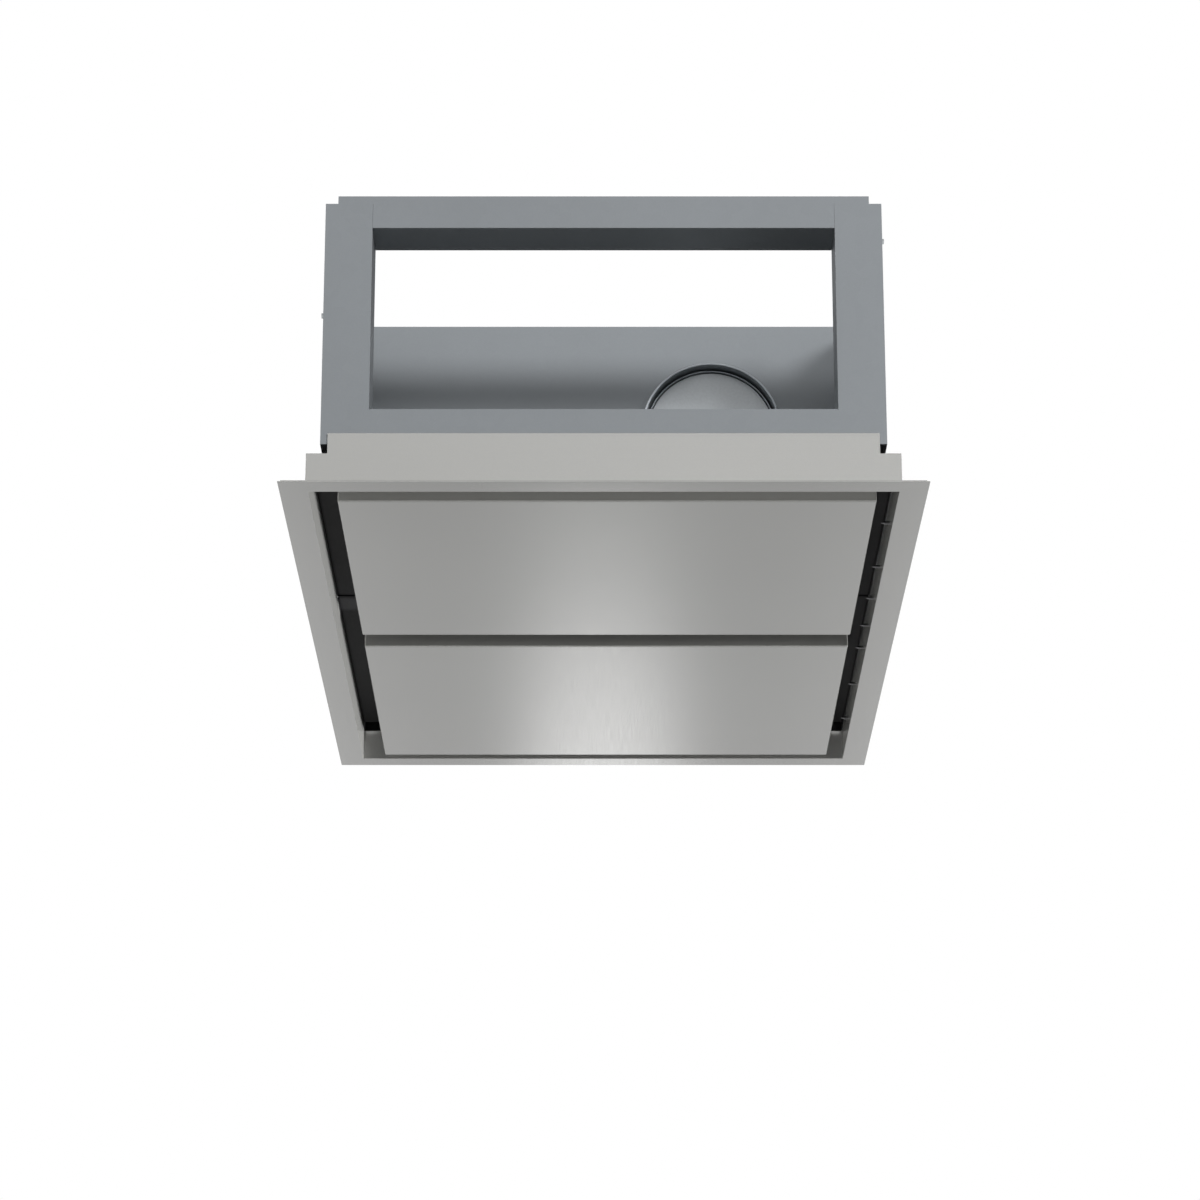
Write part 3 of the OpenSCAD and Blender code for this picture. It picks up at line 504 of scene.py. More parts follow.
def green_laminate(name, colour):
    """Solder-masked board with faint tracks under the mask."""
    mix = Mixer(name)
    tracks = mix.pattern("ShaderNodeTexBrick", 90)
    mix.fill(tracks, mortar_size=0.03)
    mix.tint(colour, mix.span(tracks.outputs["Fac"], 1.0, 1.7, 0, 1))
    mix.rough(mix.span(mix.noise(200, 2), 0.28, 0.4))
    return mix.material


FINISHES = {}


def lighter(colour, share):
    return tuple(level * share for level in colour)


def mix_finishes():
    """Makes every finish once."""
    zinc = tuple(colours().zinc)
    stainless = tuple(colours().stainless)
    black = tuple(colours().black)
    FINISHES.update(
        zinc=zinc_sheet("galvanised sheet", zinc),
        # Painted light: the fan box's zinc is 1.2 times lighter, standing in for the light on its front plate
        zinc_fan=zinc_sheet("galvanised fan box painted lighter", lighter(zinc, 1.2), 60),
        # Painted highlight: the zinc of the collar and ring rims, painted 2.6 times lighter
        zinc_edge=zinc_sheet("galvanised rim painted highlight", lighter(zinc, 2.6), 60),
        stainless=brushed_stainless("brushed stainless", stainless),
        black=black_enamel("black enamel", black),
        alloy=satin_metal("filter aluminium", (0.36, 0.365, 0.37), (0.3, 0.45)),
        lattice=satin_metal("expanded mesh", (0.42, 0.43, 0.44), (0.35, 0.5), 900),
        plated=satin_metal("zinc plated steel", (0.42, 0.44, 0.45), (0.25, 0.38), 900),
        screw=satin_metal("dark screw steel", (0.075, 0.075, 0.078), (0.14, 0.2), 900),
        latch=satin_metal("latch steel", (0.36, 0.36, 0.37), (0.3, 0.42), 700),
        # Painted light: the damper's aluminium is painted lighter, lifting the disc out of the top beam's
        # shadow
        flap=satin_metal("damper aluminium painted lighter", (0.56, 0.59, 0.61), (0.36, 0.5), 300, 0.5),
        wheel=satin_metal("fan wheel aluminium", (0.36, 0.38, 0.4), (0.3, 0.45), 500),
        shaft=satin_metal("ground shaft steel", (0.5, 0.5, 0.51), (0.12, 0.2), 1500),
        cast=cast_metal("motor casting", (0.34, 0.35, 0.37)),
        rotor=satin_metal("rotor enamel", (0.08, 0.085, 0.09), (0.4, 0.55), 400, 0.3),
        core=laminated_steel("stator sheets", (0.14, 0.14, 0.15)),
        copper=wound_wire("winding wire", (0.55, 0.19, 0.07)),
        rubber=soft_rubber("black rubber", (0.02, 0.02, 0.021)),
        plastic=moulded_plastic("black plastic", (0.022, 0.022, 0.024)),
        ivory=moulded_plastic("terminal plastic", (0.62, 0.58, 0.48), (0.35, 0.45), 500),
        relay=moulded_plastic("relay plastic", (0.03, 0.07, 0.2), (0.3, 0.4), 600),
        chip=moulded_plastic("chip epoxy", (0.012, 0.012, 0.013), (0.4, 0.5), 900),
        ferrite=moulded_plastic("ferrite", (0.05, 0.05, 0.052), (0.5, 0.65), 400),
        laminate=green_laminate("circuit laminate", (0.012, 0.075, 0.03)),
    )


def at_both_ends(*names):
    return [end + "_" + name for name in names for end in ("front", "rear")]


# Nodes that keep the shape they were packed with, by finish
CARRIED = {
    "zinc": at_both_ends("end_frame", "top_beam", "panel_back")
    + ["left_side_panel", "right_side_panel", "plenum_plate"],
    "zinc_fan": ["fan_box_body", "fan_box_lid", "inlet_cone", "scroll_body", "scroll_top_plate"],
    "black": at_both_ends("filter_housing") + ["rear_closing_strip"],
    "alloy": at_both_ends("filter_frame"),
    "latch": at_both_ends("filter_latch"),
    "plated": at_both_ends("hinge_leaves", "hinge_brackets", "hinge_pins", "strike_plates")
    + ["damper_spindle"],
    "flap": ["upper_damper_flap", "lower_damper_flap"],
    "wheel": ["impeller"],
    "rotor": ["motor_rotor"],
    "core": ["motor_stator"],
    "shaft": ["motor_shaft", "motor_bearing"],
    "cast": ["motor_flange"],
    "ferrite": ["catch_magnets"],
    "laminate": ["circuit_board"],
    "ivory": ["terminal_block"],
}


class HOOD_OT_carried_nodes(bpy.types.Operator):
    """Gives the sheets and parts that stay as packed their finish"""

    bl_idname = "hood.carried_nodes"
    bl_label = "Carried parts"

    def execute(self, context):
        mix_finishes()
        for finish, names in CARRIED.items():
            for name in names:
                data = NODES[name].data
                for slot in range(max(1, len(data.materials))):
                    if len(data.materials) > slot:
                        data.materials[slot] = FINISHES[finish]
                    else:
                        data.materials.append(FINISHES[finish])
        return {"FINISHED"}


# Stainless pieces


class HOOD_OT_trim_frame(bpy.types.Operator):
    """Folds the stainless flange, its hem, the collar and the end tabs"""

    bl_idname = "hood.trim_frame"
    bl_label = "Trim frame"

    border = 0.028
    wall = 0.003
    sheet = 0.0012
    hem_top = 0.002
    hem_width = 0.006
    hem_relief = 0.0034
    hem_round = 0.0003
    collar = 0.0434
    tab_x = 0.2992
    tab_reach = 0.04

    def execute(self, context):
        low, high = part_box("trim_frame")
        top = low.z + self.sheet
        obj = box_piece("trim_frame_folded", low, (high.x, high.y, top))
        pick(obj, "FACE", looks_up)
        bpy.ops.mesh.inset(thickness=self.border, depth=0)
        extrude_up(self.collar - self.sheet)
        bpy.ops.mesh.inset(thickness=self.wall, depth=0)
        delete_picked_faces()
        pick(obj, "FACE", lambda f: f.normal.z < -FACING)
        bpy.ops.mesh.inset(thickness=self.border + self.wall, depth=0)
        delete_picked_faces()
        pick(obj, "EDGE", lambda e: e.is_boundary)
        bpy.ops.mesh.bridge_edge_loops()
        for tab_end in (self.tab_x, -self.tab_x):
            bpy.ops.mesh.select_all(action="SELECT")
            bpy.ops.mesh.bisect(plane_co=(tab_end, 0, 0), plane_no=(1, 0, 0))
        leave_edit()
        outward(obj)
        rim = low.z + self.collar

        def under_tab(face):
            middle = face.calc_center_median()
            on_rim = looks_up(face) and abs(middle.z - rim) < TOUCH
            return on_rim and abs(middle.x) < self.tab_x and abs(middle.y) > high.y - self.tab_reach

        pick(obj, "FACE", under_tab)
        extrude_up(high.z - rim)
        leave_edit()
        round_edges(obj, sizes().sheet_round)
        parts = [obj] + self.hems(high, top, low.z + self.hem_top)
        finish_piece("trim_frame_folded", parts, "stainless", "stainless_steel", "trim_frame")
        return {"FINISHED"}

    def hems(self, high, floor, top):
        """The folded hem along each side of the flange."""
        strips = []
        reach_x, reach_y = high.x - self.hem_relief, high.y - self.hem_relief
        for side in (-1, 1):
            xs = sorted((side * high.x, side * (high.x - self.hem_width)))
            ys = sorted((side * high.y, side * (high.y - self.hem_width)))
            strips.append(box_piece("hem", (xs[0], -reach_y, floor), (xs[1], reach_y, top)))
            strips.append(box_piece("hem", (-reach_x, ys[0], floor), (reach_x, ys[1], top)))
        for strip in strips:
            round_edges(strip, self.hem_round)
        return strips


class HOOD_OT_panels(bpy.types.Operator):
    """Folds the two stainless trays of the hinged panels"""

    bl_idname = "hood.panels"
    bl_label = "Hinged panels"

    sheet = 0.001

    def execute(self, context):
        for end in ("front", "rear"):
            low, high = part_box(end + "_panel_shell")
            tray = open_tray("tray", low, high, sizes().panel_fold, self.sheet)
            name, node, body = end + "_panel_tray", end + "_panel_shell", end + "_panel"
            finish_piece(name, [tray], "stainless", "stainless_steel", node, body=body)
        return {"FINISHED"}


# Filters


class HOOD_OT_filter_meshes(bpy.types.Operator):
    """Lays a corrugated sheet and an expanded mesh into each filter"""

    bl_idname = "hood.filter_meshes"
    bl_label = "Filter meshes"

    wave = 0.0095
    wave_rows = 4
    wave_sheet = 0.0004
    wave_margin = 0.001

    def execute(self, context):
        for end in ("front", "rear"):
            low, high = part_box(end + "_filter_mesh")
            parts = [self.expanded(low, high), self.corrugated(low, high)]
            obj = join(end + "_filter_lattice", parts)
            dress(obj, FINISHES["lattice"])
            hand_over(obj, HOME, "mesh_aluminium", end + "_filter_mesh")
        return {"FINISHED"}

    def expanded(self, low, high):
        """Diamonds of thin strands, cut to the filter's size."""
        cell_x, cell_y, strand = sizes().cell_x, sizes().cell_y, sizes().strand
        across, along = (high.x - low.x) / cell_x, (high.y - low.y) / cell_y
        count = int(across + along) + 2
        deselect()
        bpy.ops.mesh.primitive_grid_add(x_subdivisions=count, y_subdivisions=count, size=count / 2 ** 0.5)
        obj = bpy.context.object
        obj.rotation_euler.z = radians(45)
        settle(obj)
        obj.scale = (cell_x, cell_y, 1)
        middle = (low + high) / 2
        obj.location = (middle.x, middle.y, low.z + strand / 2)
        settle(obj)
        enter_edit(obj)
        for place, normal in (
            ((low.x + strand, 0, 0), (-1, 0, 0)),
            ((high.x - strand, 0, 0), (1, 0, 0)),
            ((0, low.y + strand, 0), (0, -1, 0)),
            ((0, high.y - strand, 0), (0, 1, 0)),
        ):
            bpy.ops.mesh.select_all(action="SELECT")
            bpy.ops.mesh.bisect(plane_co=place, plane_no=normal, clear_outer=True)
        leave_edit()
        finish_with(obj, "WIREFRAME", thickness=strand, use_replace=True, use_even_offset=False)
        return obj

    def corrugated(self, low, high):
        """A thin sheet in waves above the mesh."""
        waves = int((high.y - low.y) / self.wave)
        width = high.x - low.x - 2 * self.wave_margin
        run = high.y - low.y - 2 * self.wave_margin
        floor = low.z + sizes().strand * 1.5
        depth = (high.z - floor) / 2 - self.wave_sheet
        deselect()
        bpy.ops.mesh.primitive_grid_add(x_subdivisions=1, y_subdivisions=waves * self.wave_rows, size=1)
        obj = bpy.context.object
        obj.scale = (width, run, 1)
        middle = (low + high) / 2
        obj.location = (middle.x, middle.y, (high.z + floor) / 2)
        settle(obj)
        for vertex in obj.data.vertices:
            share = (vertex.co.y - low.y - self.wave_margin) / run
            vertex.co.z += depth * sin(2 * pi * waves * share + pi / 4)
        finish_with(obj, "SOLIDIFY", thickness=self.wave_sheet, offset=0)
        smooth(obj, 60)
        return obj


# Fasteners


SCREW_HEAD_R = 0.0036
SCREW_HEAD_H = 0.002
SCREW_SHANK_R = 0.002


def recessed_head(radius, height, sides=24):
    """A low pan head with a socket, standing on z = 0."""
    edge = height * 0.45
    return turned("head", [
        (radius, 0), (radius, height - edge), (radius * 0.94, height - edge * 0.4), (radius * 0.78, height),
        (radius * 0.42, height), (radius * 0.36, height * 0.45), (radius * 0.1, height * 0.4),
    ], sides)


def hexagon_head(radius, height):
    """A tall hexagon head on a washer face."""
    washer = turned("washer", [(radius, 0), (radius, height * 0.2), (radius * 0.92, height * 0.28)], 32)
    deselect()
    bpy.ops.mesh.primitive_cylinder_add(
        vertices=6, radius=radius * 0.86, depth=height * 0.78, location=(0, 0, height * 0.61)
    )
    nut = bpy.context.object
    settle(nut)
    round_edges(nut, radius * 0.08)
    return join("hexagon", [washer, nut])


def threaded_shank(radius, length, pitch, point):
    """A screw's shank from z = 0 down, grooved at each turn, with a point."""
    profile = [(radius * 0.82, 0)]
    root = radius * 0.8
    depth = 0.0
    while depth + pitch < length - point:
        profile += [(radius, -(depth + pitch * 0.35)), (radius, -(depth + pitch * 0.5))]
        depth += pitch
        profile.append((root, -depth))
    profile += [(root, -(length - point)), (radius * 0.15, -length)]
    return turned("shank", profile, 20)


def copies(pattern, seats):
    """Copies of a piece made along +Z, one for each place and axis."""
    made = []
    for place, axis in seats:
        twin = pattern.copy()
        twin.data = pattern.data.copy()
        bpy.context.scene.collection.objects.link(twin)
        made.append(set_down(twin, place, axis))
    bpy.data.objects.remove(pattern)
    return made


def solids_of(node):
    """Boxes of a node's separate solids, as (low, high) pairs."""
    shape = bmesh.new()
    shape.from_mesh(NODES[node].data)
    bmesh.ops.remove_doubles(shape, verts=shape.verts, dist=TOUCH)
    left = set(shape.verts)
    found = []
    while left:
        group, todo = set(), [left.pop()]
        while todo:
            vertex = todo.pop()
            group.add(vertex)
            for edge in vertex.link_edges:
                other = edge.other_vert(vertex)
                if other in left:
                    left.remove(other)
                    todo.append(other)
        low = Vector(min(v.co[i] for v in group) for i in range(3))
        high = Vector(max(v.co[i] for v in group) for i in range(3))
        found.append((low, high))
    shape.free()
    return sorted(found, key=lambda pair: tuple(pair[0]))


def screws_for(node, name, finish, head, head_h, pitch, point, upright=False):
    """A screw for each solid of the node, with its head up or away from the hood's middle."""
    along = 2 if upright else 0
    seats = []
    for low, high in solids_of(node):
        place, axis = (low + high) / 2, Vector()
        axis[along] = 1 if upright or place.x > 0 else -1
        place[along] = high[along] - head_h if axis[along] > 0 else low[along] + head_h
        seats.append((place, axis))
        length = high[along] - low[along] - head_h
    screw = join("screw", [head, threaded_shank(SCREW_SHANK_R, length, pitch, point)])
    finish_piece(name, copies(screw, seats), finish, "zinc_steel", node, angle=30)


class HOOD_OT_collar_screws(bpy.types.Operator):
    """Turns the self-tapping screws through the collar, with their tips in the slot"""

    bl_idname = "hood.collar_screws"
    bl_label = "Collar screws"

    point = 0.0035

    def execute(self, context):
        head = recessed_head(SCREW_HEAD_R, SCREW_HEAD_H)
        pitch = sizes().thread_pitch
        screws_for("collar_screws", "collar_screws_threaded", "screw", head, SCREW_HEAD_H, pitch, self.point)
        return {"FINISHED"}


class HOOD_OT_side_screws(bpy.types.Operator):
    """Turns the tall hexagon screws through the posts"""

    bl_idname = "hood.side_screws"
    bl_label = "Side screws"

    head_h = 0.004
    point = 0.001

    def execute(self, context):
        for node in ("left_side_screws", "right_side_screws"):
            head = hexagon_head(SCREW_HEAD_R, self.head_h)
            pitch = sizes().thread_pitch
            screws_for(node, node + "_hexagon", "plated", head, self.head_h, pitch, self.point)
        return {"FINISHED"}


class HOOD_OT_box_screws(bpy.types.Operator):
    """Turns the screws of the fan box's lid and of the motor"""

    bl_idname = "hood.box_screws"
    bl_label = "Fan box and motor screws"

    pitch = 0.0008
    point = 0.0004

    def execute(self, context):
        for node, upright in (("fan_box_screws", False), ("motor_screws", True)):
            head = recessed_head(SCREW_HEAD_R, SCREW_HEAD_H)
            name = node + "_recessed"
            screws_for(node, name, "plated", head, SCREW_HEAD_H, self.pitch, self.point, upright)
        return {"FINISHED"}


class HOOD_OT_beam_rivets(bpy.types.Operator):
    """Sets the domed rivets of the top beams"""

    bl_idname = "hood.beam_rivets"
    bl_label = "Beam rivets"

    head_r = 0.0035
    head_h = 0.001
    shank_r = 0.002
    # Angles in radians, from the dome's edge up to its crown
    dome_rings = (0, 0.4, 0.8, 1.2, 1.45)

    def execute(self, context):
        rivets = solids_of("beam_rivets")
        low, high = rivets[0]
        half = (high.x - low.x) / 2 - self.head_h
        dome = [(self.head_r * cos(a), self.head_h * sin(a)) for a in self.dome_rings]
        profile = [(r, -half - h) for r, h in reversed(dome)]
        profile += [(self.shank_r, -half), (self.shank_r, half)]
        profile += [(r, half + h) for r, h in dome]
        seats = [((a + b) / 2, (1, 0, 0)) for a, b in rivets]
        parts = copies(turned("rivet", profile, 24), seats)
        finish_piece("beam_rivets_domed", parts, "plated", "zinc_steel", "beam_rivets", angle=30)
        return {"FINISHED"}


# Duct outlet


class HOOD_OT_duct_outlet(bpy.types.Operator):
    """Turns the duct collar with its rolled bead, and the damper's ring"""

    bl_idname = "hood.duct_outlet"
    bl_label = "Duct outlet"

    segments = 128
    # Rims as radius and depth under the free end, from the bore outwards
    collar_rim = (
        (0.0788, 0.0006), (0.0792, 0.0001), (0.0800, 0), (0.0809, 0.0004), (0.0814, 0.0012), (0.0815, 0.0020),
        (0.0814, 0.0028), (0.0809, 0.0036), (0.0802, 0.0040), (0.0800, 0.0043),
    )
    ring_rim = ((0.0750, 0.0005), (0.0753, 0.0001), (0.07575, 0), (0.0762, 0.0001), (0.0765, 0.0005))
    # Feet as radius and height over the seat, down to the outer edge
    collar_foot = (
        (0.0800, 0.0024), (0.0803, 0.0016), (0.0811, 0.0012), (0.0917, 0.0012), (0.0920, 0.0009), (0.0920, 0)
    )
    ring_foot = ((0.0765, 0.0056), (0.0768, 0.0050), (0.0785, 0.0049), (0.07873, 0.0045), (0.07873, 0))
    # Radii between which the rims get the zinc painted lighter, a painted highlight along the edges of the
    # bead and the ring
    collar_highlight_radii = (0.0789, 0.0816)
    ring_highlight_radii = (0.0751, 0.0766)

    def execute(self, context):
        low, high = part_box("outlet_collar")
        seat = ((low.x + high.x) / 2, high.y, (low.z + high.z) / 2)
        for node, form, rim, foot, highlight_radii in (
            ("outlet_collar", "beaded", self.collar_rim, self.collar_foot, self.collar_highlight_radii),
            ("damper_ring", "rolled", self.ring_rim, self.ring_foot, self.ring_highlight_radii),
        ):
            low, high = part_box(node)
            length = high.y - low.y
            bore = (rim[0][0], 0)
            profile = [bore, *((radius, length - depth) for radius, depth in rim), *foot, bore]
            obj = turned(node + "_" + form, profile, self.segments, closed=True)
            set_down(obj, seat, (0, -1, 0))
            smooth(obj, 40)
            dress(obj, FINISHES["zinc_edge"])
            # The edges of the bead and the ring get the lighter zinc, a painted highlight where light catches
            # the rims
            self.paint_rim_highlight(obj, seat, highlight_radii)
            hand_over(obj, HOME, "galvanised_steel", node)
        return {"FINISHED"}

    def paint_rim_highlight(self, obj, centre, highlight_radii):
        """Gives the faces between both radii the zinc painted lighter as a painted highlight, and the other
        faces the fan box's zinc.
        """
        obj.data.materials.append(FINISHES["zinc_fan"])
        for face in obj.data.polygons:
            radius = (face.center - Vector(centre)).xz.length
            face.material_index = int(not highlight_radii[0] < radius < highlight_radii[1])


# Fan and motor


class HOOD_OT_rubber_mounts(bpy.types.Operator):
    """Turns the waisted rubber feet under the scroll"""

    bl_idname = "hood.rubber_mounts"
    bl_label = "Rubber mounts"

    # Lower half of a foot, as shares of its radius and height
    waist = ((0.9, 0), (1, 0.03), (1, 0.2), (0.93, 0.26), (0.72, 0.38), (0.66, 0.5))

    def execute(self, context):
        feet = solids_of("rubber_mounts")
        low, high = feet[0]
        radius, height = (high.x - low.x) / 2, high.z - low.z
        shares = [*self.waist, *((r, 1 - h) for r, h in reversed(self.waist[:-1]))]
        seats = [(((a.x + b.x) / 2, (a.y + b.y) / 2, a.z), (0, 0, 1)) for a, b in feet]
        parts = copies(turned("foot", [(radius * r, height * h) for r, h in shares], 40), seats)
        finish_piece("rubber_mounts_waisted", parts, "rubber", "mount_rubber", "rubber_mounts", angle=50)
        return {"FINISHED"}


class HOOD_OT_motor_windings(bpy.types.Operator):
    """Winds the coil heads above and below the stator's core"""

    bl_idname = "hood.motor_windings"
    bl_label = "Motor windings"

    coils = 9
    coil_at = 0.0303
    coil_r = 0.0078
    coil_shape = (1.04, 0.72, 1)
    wire_r = 0.0028

    def execute(self, context):
        parts = []
        for low, high in solids_of("motor_windings"):
            for i in range(self.coils):
                turn = 2 * pi * i / self.coils
                deselect()
                bpy.ops.mesh.primitive_torus_add(
                    major_radius=self.coil_r, minor_radius=self.wire_r, major_segments=28, minor_segments=12,
                    location=(self.coil_at * cos(turn), self.coil_at * sin(turn), (low.z + high.z) / 2),
                    rotation=(0, 0, turn),
                )
                coil = bpy.context.object
                coil.scale = self.coil_shape
                settle(coil)
                parts.append(coil)
        finish_piece("motor_windings_coiled", parts, "copper", "winding_copper", "motor_windings", angle=60)
        return {"FINISHED"}


# Catches, control box and cable gland


class HOOD_OT_catches(bpy.types.Operator):
    """Moulds the housings of the magnetic catches"""

    bl_idname = "hood.catches"
    bl_label = "Catch housings"

    rim = 0.003
    edge = 0.0012

    def execute(self, context):
        parts = []
        for low, high in solids_of("catch_housings"):
            part = box_piece("catch", low, high)
            pick(part, "FACE", lambda f: abs(f.normal.y) > FACING)
            bpy.ops.mesh.inset(thickness=self.rim, depth=0, use_individual=True)
            leave_edit()
            round_edges(part, self.edge, 3)
            parts.append(part)
        finish_piece("catch_housings_moulded", parts, "plastic", "catch_plastic", "catch_housings")
        return {"FINISHED"}


class HOOD_OT_control_box(bpy.types.Operator):
    """Moulds the control box and its ribbed lid, and fills the board with its parts"""

    bl_idname = "hood.control_box"
    bl_label = "Control box"

    wall = 0.002
    corner_r = 0.003
    post_in = 0.010
    post_r = 0.003
    post_foot = (0.0034, 0.001)
    lid_round = 0.0006
    lid_screw_in = 0.009
    lid_screw_r = 0.0032
    ribs = 9
    rib_h = 0.0007
    rib_half = 0.0015
    rib_sunk = 0.0005
    rib_end = 0.03
    rib_first = 0.045
    board_t = 0.0016
    # Blocks on the board: x, y, width, length and height
    relays = tuple((0.018, 0.060 + i * 0.032, 0.019, 0.024, 0.015) for i in range(3))
    relay_round = 0.0007
    chips = (
        (0.060, 0.072, 0.018, 0.010, 0.003),
        (0.060, 0.095, 0.012, 0.012, 0.002),
        (0.055, 0.125, 0.007, 0.020, 0.003),
        (0.078, 0.055, 0.010, 0.006, 0.0025),
    )
    chip_round = 0.0004
    choke = ((0.009, 0), (0.0092, 0.0005), (0.0092, 0.011), (0.0075, 0.0125), (0.004, 0.0125))
    choke_at = (0.070, 0.150)

    def execute(self, context):
        board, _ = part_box("circuit_board")
        self.shell(board.z)
        self.lid()
        top = board.z + self.board_t
        relays = self.blocks("relay", self.relays, board, top, self.relay_round)
        finish_piece("board_relays", relays, "relay", "terminal_plastic")
        chips = self.blocks("chip", self.chips, board, top, self.chip_round)
        x, y = self.choke_at
        chips.append(set_down(turned("choke", self.choke, 32), (board.x + x, board.y + y, top)))
        finish_piece("board_chips", chips, "chip", "control_plastic")
        return {"FINISHED"}

    def shell(self, board_z):
        """The open box, with a post under each corner of the board."""
        low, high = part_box("control_box")
        parts = [open_tray("shell", low, high, self.corner_r, self.wall)]
        floor = low.z + self.wall
        foot_r, foot_h = self.post_foot
        for x, y in self.corners(low, high, self.post_in):
            post = turned("post", [(foot_r, 0), (self.post_r, foot_h), (self.post_r, board_z - floor)], 20)
            parts.append(set_down(post, (x, y, floor)))
        finish_piece("control_box_moulded", parts, "plastic", "control_plastic", "control_box")

    def lid(self):
        """The lid, with ribs across it and a screw in each corner."""
        low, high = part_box("control_box_lid")
        face = high.z - self.rib_h
        plate = box_piece("plate", low, (high.x, high.y, face))
        round_edges(plate, self.lid_round, 3)
        parts = [plate]
        left, right, floor = low.x + self.rib_end, high.x - self.rib_end, face - self.rib_sunk
        step = (high.y - low.y - 2 * self.rib_first) / (self.ribs - 1)
        for i in range(self.ribs):
            y = low.y + self.rib_first + i * step
            rib = box_piece("rib", (left, y - self.rib_half, floor), (right, y + self.rib_half, high.z))
            round_edges(rib, self.lid_round)
            parts.append(rib)
        for x, y in self.corners(low, high, self.lid_screw_in):
            parts.append(set_down(recessed_head(self.lid_screw_r, self.rib_h, 20), (x, y, face)))
        finish_piece("control_box_lid_ribbed", parts, "plastic", "control_plastic", "control_box_lid")

    def corners(self, low, high, inset):
        return [(x, y) for x in (low.x + inset, high.x - inset) for y in (low.y + inset, high.y - inset)]

    def blocks(self, name, rows, board, top, edge):
        """Rounded blocks that stand on the board."""
        made = []
        for x, y, width, length, height in rows:
            x, y = board.x + x, board.y + y
            block = box_piece(name, (x, y, top), (x + width, y + length, top + height))
            round_edges(block, edge)
            made.append(block)
        return made


class HOOD_OT_cable_gland(bpy.types.Operator):
    """Moulds the cable gland: hexagon, cap with a rounded nose, tube and lock nut"""

    bl_idname = "hood.cable_gland"
    bl_label = "Cable gland"

    bore = 0.005
    lap = 0.001
    hexagon_h = 0.006
    hexagon_round = 0.0005
    ring_share = 0.28
    nut_h = 0.004
    tube_r = 0.0079
    nose_h = 0.008
    nose_sunk = 0.0005
    # Radius and depth under the tip, from the bore outwards
    nose = (
        (0.005, 0.0012), (0.0055, 0.0003), (0.0062, 0), (0.0068, 0.0006), (0.0076, 0.002), (0.0080, 0.0035)
    )

    def execute(self, context):
        low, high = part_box("cable_gland")
        tip = self.hexagon_h + self.nose_h
        face = low.x + tip
        back = high.x - face
        hexagon_r = max(high.y - low.y, high.z - low.z) / 2
        parts = []
        for start, height in ((0.0, self.hexagon_h), (-back, self.nut_h)):
            deselect()
            bpy.ops.mesh.primitive_cylinder_add(
                vertices=6, radius=hexagon_r, depth=height, location=(0, 0, start + height / 2)
            )
            nut = bpy.context.object
            settle(nut)
            pick(nut, "FACE", lambda f: abs(f.normal.z) > FACING)
            bpy.ops.mesh.inset(thickness=hexagon_r * self.ring_share, depth=0, use_individual=True)
            leave_edit()
            round_edges(nut, self.hexagon_round)
            parts.append(nut)
        inside = (self.bore, self.lap)
        nose = [(radius, tip - depth) for radius, depth in self.nose]
        cap_foot = (self.nose[-1][0], self.hexagon_h - self.nose_sunk)
        parts.append(turned("cap", [inside, *nose, cap_foot, inside], 48, closed=True))
        tube = [inside, (self.bore, -back), (self.tube_r, -back), (self.tube_r, self.lap), inside]
        parts.append(turned("tube", tube, 40, closed=True))
        gland = join("gland", parts)
        set_down(gland, (face, (low.y + high.y) / 2, (low.z + high.z) / 2), (-1, 0, 0))
        finish_piece("cable_gland_moulded", [gland], "plastic", "control_plastic", "cable_gland", angle=40)
        return {"FINISHED"}


# Studio


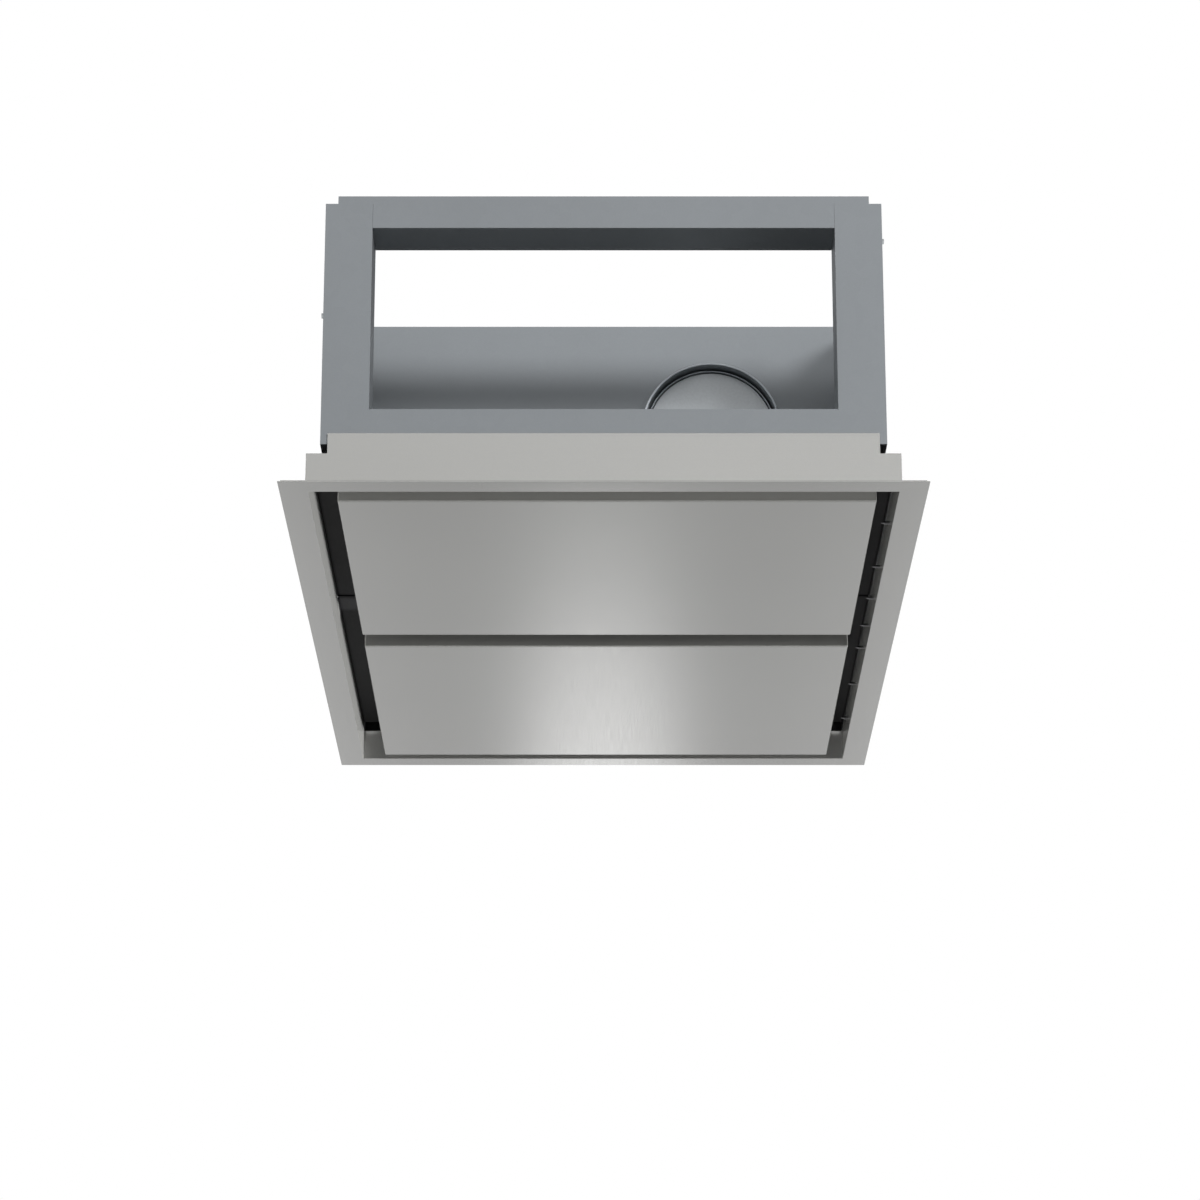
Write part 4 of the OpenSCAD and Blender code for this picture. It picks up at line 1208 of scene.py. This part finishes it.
class HOOD_OT_studio(bpy.types.Operator):
    """Lays the floor and sets the daylight, the soft lamps and the camera"""

    bl_idname = "hood.studio"
    bl_label = "Studio"

    floor_z = -5.0
    floor_size = 60
    floor_tone = (0.84, 0.84, 0.83)
    floor_rough = 0.7
    # Glow of the floor under the hood and off to the side, and where it starts and stops to grow
    floor_glow = (0.9, 1.3, 0.9, 1.8)
    # Glow of the floor to the camera, and its share there
    floor_shown = 1.3
    floor_shown_share = 0.7
    # Share of the floor's bounced light that is left out
    floor_dimmed = 0.6
    sky_tone = (0.96, 0.98, 1.0, 1)
    sky_level = 0.07
    # White of the sky in reflections before and behind the hood, and where it fades
    sky_fade = (1.0, 0.15, -0.2, 0.4)
    # Name, place, aim, size and power, and True for the one that shows in reflections
    lamps = (
        ("key_lamp", (0.6, -8.0, 1.85), (0, -0.5, -0.15), (1.0, 1.0), 150),
        ("side_lamp", (1.2, -3.4, 0.6), (0, -0.5, -0.15), (0.45, 0.45), 78),
        ("wall_lamp", (2.3, 0.7, -3.3), (0, 0, -0.3), (0.8, 0.8), 600),
        ("near_lamp", (-0.6, -0.8, -3.8), (0, -0.3, -0.3), (0.4, 0.4), 60),
        ("back_lamp", (-3.2, 6.2, 2.5), (0, 0.2, -0.15), (1.4, 1.4), 720),
        ("low_lamp", (0.0, 6.2, -1.9), (0, 0.3, -0.3), (0.45, 1.0), 2.1, True),
    )
    lens = 116.607
    camera_place = (-0.003982, -4.459416, -1.783748)
    camera_pitch = 108.4261

    def execute(self, context):
        scene = bpy.context.scene
        scene.view_settings.view_transform = "Standard"
        self.floor()
        self.daylight(scene)
        for row in self.lamps:
            self.lamp(*row)
        self.camera(scene)
        return {"FINISHED"}

    def floor(self):
        deselect()
        bpy.ops.mesh.primitive_plane_add(size=self.floor_size, location=(0, 0, self.floor_z))
        obj = bpy.context.object
        obj.name = "studio_floor"
        mix = Mixer("studio floor")
        mix.tint(self.floor_tone, mix.span(mix.noise(0.4, 2), 0.99, 1.01))
        mix.set(roughness=self.floor_rough)
        rays = mix.add("ShaderNodeLightPath").outputs
        beside = mix.calc("ABSOLUTE", mix.part(mix.coordinates["Object"], "X"))
        shown = mix.calc("MULTIPLY", rays["Is Camera Ray"], self.floor_shown)
        level = mix.calc("MAXIMUM", shown, mix.span(beside, *self.floor_glow))
        glow = mix.source("ShaderNodeEmission", level)
        share = mix.calc("MULTIPLY", rays["Is Camera Ray"], self.floor_shown_share)
        mirrored = mix.calc("MAXIMUM", rays["Is Glossy Ray"], rays["Is Transmission Ray"])
        floor = mix.mixed(mix.calc("MAXIMUM", share, mirrored), mix.shader.outputs["BSDF"], glow)
        dimmed = mix.calc("MULTIPLY", rays["Is Diffuse Ray"], self.floor_dimmed)
        floor = mix.mixed(dimmed, floor, mix.source("ShaderNodeEmission", 0))
        mix.link(floor, mix.tree.nodes["Material Output"].inputs["Surface"])
        dress(obj, mix.material)

    def daylight(self, scene):
        """White to the camera and in reflections, a plain level on the object."""
        world = bpy.data.worlds.new("studio daylight")
        scene.world = world
        world.use_nodes = True
        world.node_tree.nodes.clear()
        sky = Graph(world.node_tree)
        rays = sky.add("ShaderNodeLightPath").outputs
        seen = sky.calc("MAXIMUM", rays["Is Camera Ray"], rays["Is Glossy Ray"])
        seen = sky.calc("MAXIMUM", seen, rays["Is Transmission Ray"])
        fade = sky.span(sky.part(sky.coordinates["Generated"], "Y"), *self.sky_fade)
        white = sky.source("ShaderNodeBackground", sky.calc("MAXIMUM", fade, rays["Is Camera Ray"]))
        soft = sky.source("ShaderNodeBackground", self.sky_level, self.sky_tone)
        out = sky.add("ShaderNodeOutputWorld")
        sky.link(sky.mixed(seen, soft, white), out.inputs["Surface"])

    def lamp(self, name, place, aim, size, power, shines=False):
        data = bpy.data.lights.new(name, "AREA")
        data.shape = "ELLIPSE"
        data.size, data.size_y = size
        data.energy = power
        obj = bpy.data.objects.new(name, data)
        obj.location = place
        obj.rotation_euler = (Vector(aim) - Vector(place)).to_track_quat("-Z", "Y").to_euler()
        obj.visible_camera = False
        obj.visible_glossy = shines
        bpy.context.scene.collection.objects.link(obj)

    def camera(self, scene):
        """The camera solved from the photo."""
        data = bpy.data.cameras.new("camera")
        data.sensor_width = 36
        data.lens = self.lens
        data.clip_start = 0.1
        data.clip_end = 200
        obj = bpy.data.objects.new("camera", data)
        obj.location = self.camera_place
        obj.rotation_euler = (radians(self.camera_pitch), 0, 0)
        scene.collection.objects.link(obj)
        scene.camera = obj


PIECES = (
    HOOD_OT_carried_nodes,
    HOOD_OT_trim_frame,
    HOOD_OT_panels,
    HOOD_OT_filter_meshes,
    HOOD_OT_collar_screws,
    HOOD_OT_side_screws,
    HOOD_OT_box_screws,
    HOOD_OT_beam_rivets,
    HOOD_OT_duct_outlet,
    HOOD_OT_rubber_mounts,
    HOOD_OT_motor_windings,
    HOOD_OT_catches,
    HOOD_OT_control_box,
    HOOD_OT_cable_gland,
    HOOD_OT_studio,
)


class HOOD_PT_panel(bpy.types.Panel):
    """Lists the hood's sizes, colours and pieces"""

    bl_idname = "HOOD_PT_panel"
    bl_label = "Ceiling range hood"
    bl_space_type = "VIEW_3D"
    bl_region_type = "UI"
    bl_category = "Hood"

    def draw(self, context):
        layout = self.layout
        for group in (context.scene.hood_sizes, context.scene.hood_colours):
            for key in group.bl_rna.properties.keys():
                if key not in ("rna_type", "name"):
                    layout.prop(group, key)
        for piece in PIECES:
            layout.operator(piece.bl_idname)


CLASSES = (HoodSizes, HoodColours, *PIECES, HOOD_PT_panel)


def register():
    for cls in CLASSES:
        bpy.utils.register_class(cls)
    bpy.types.Scene.hood_sizes = bpy.props.PointerProperty(type=HoodSizes)
    bpy.types.Scene.hood_colours = bpy.props.PointerProperty(type=HoodColours)


def unregister():
    del bpy.types.Scene.hood_colours
    del bpy.types.Scene.hood_sizes
    for cls in reversed(CLASSES):
        bpy.utils.unregister_class(cls)


def main():
    register()
    for piece in PIECES:
        group, name = piece.bl_idname.split(".")
        getattr(getattr(bpy.ops, group), name)()
    deselect()


if __name__ == "__main__":
    main()
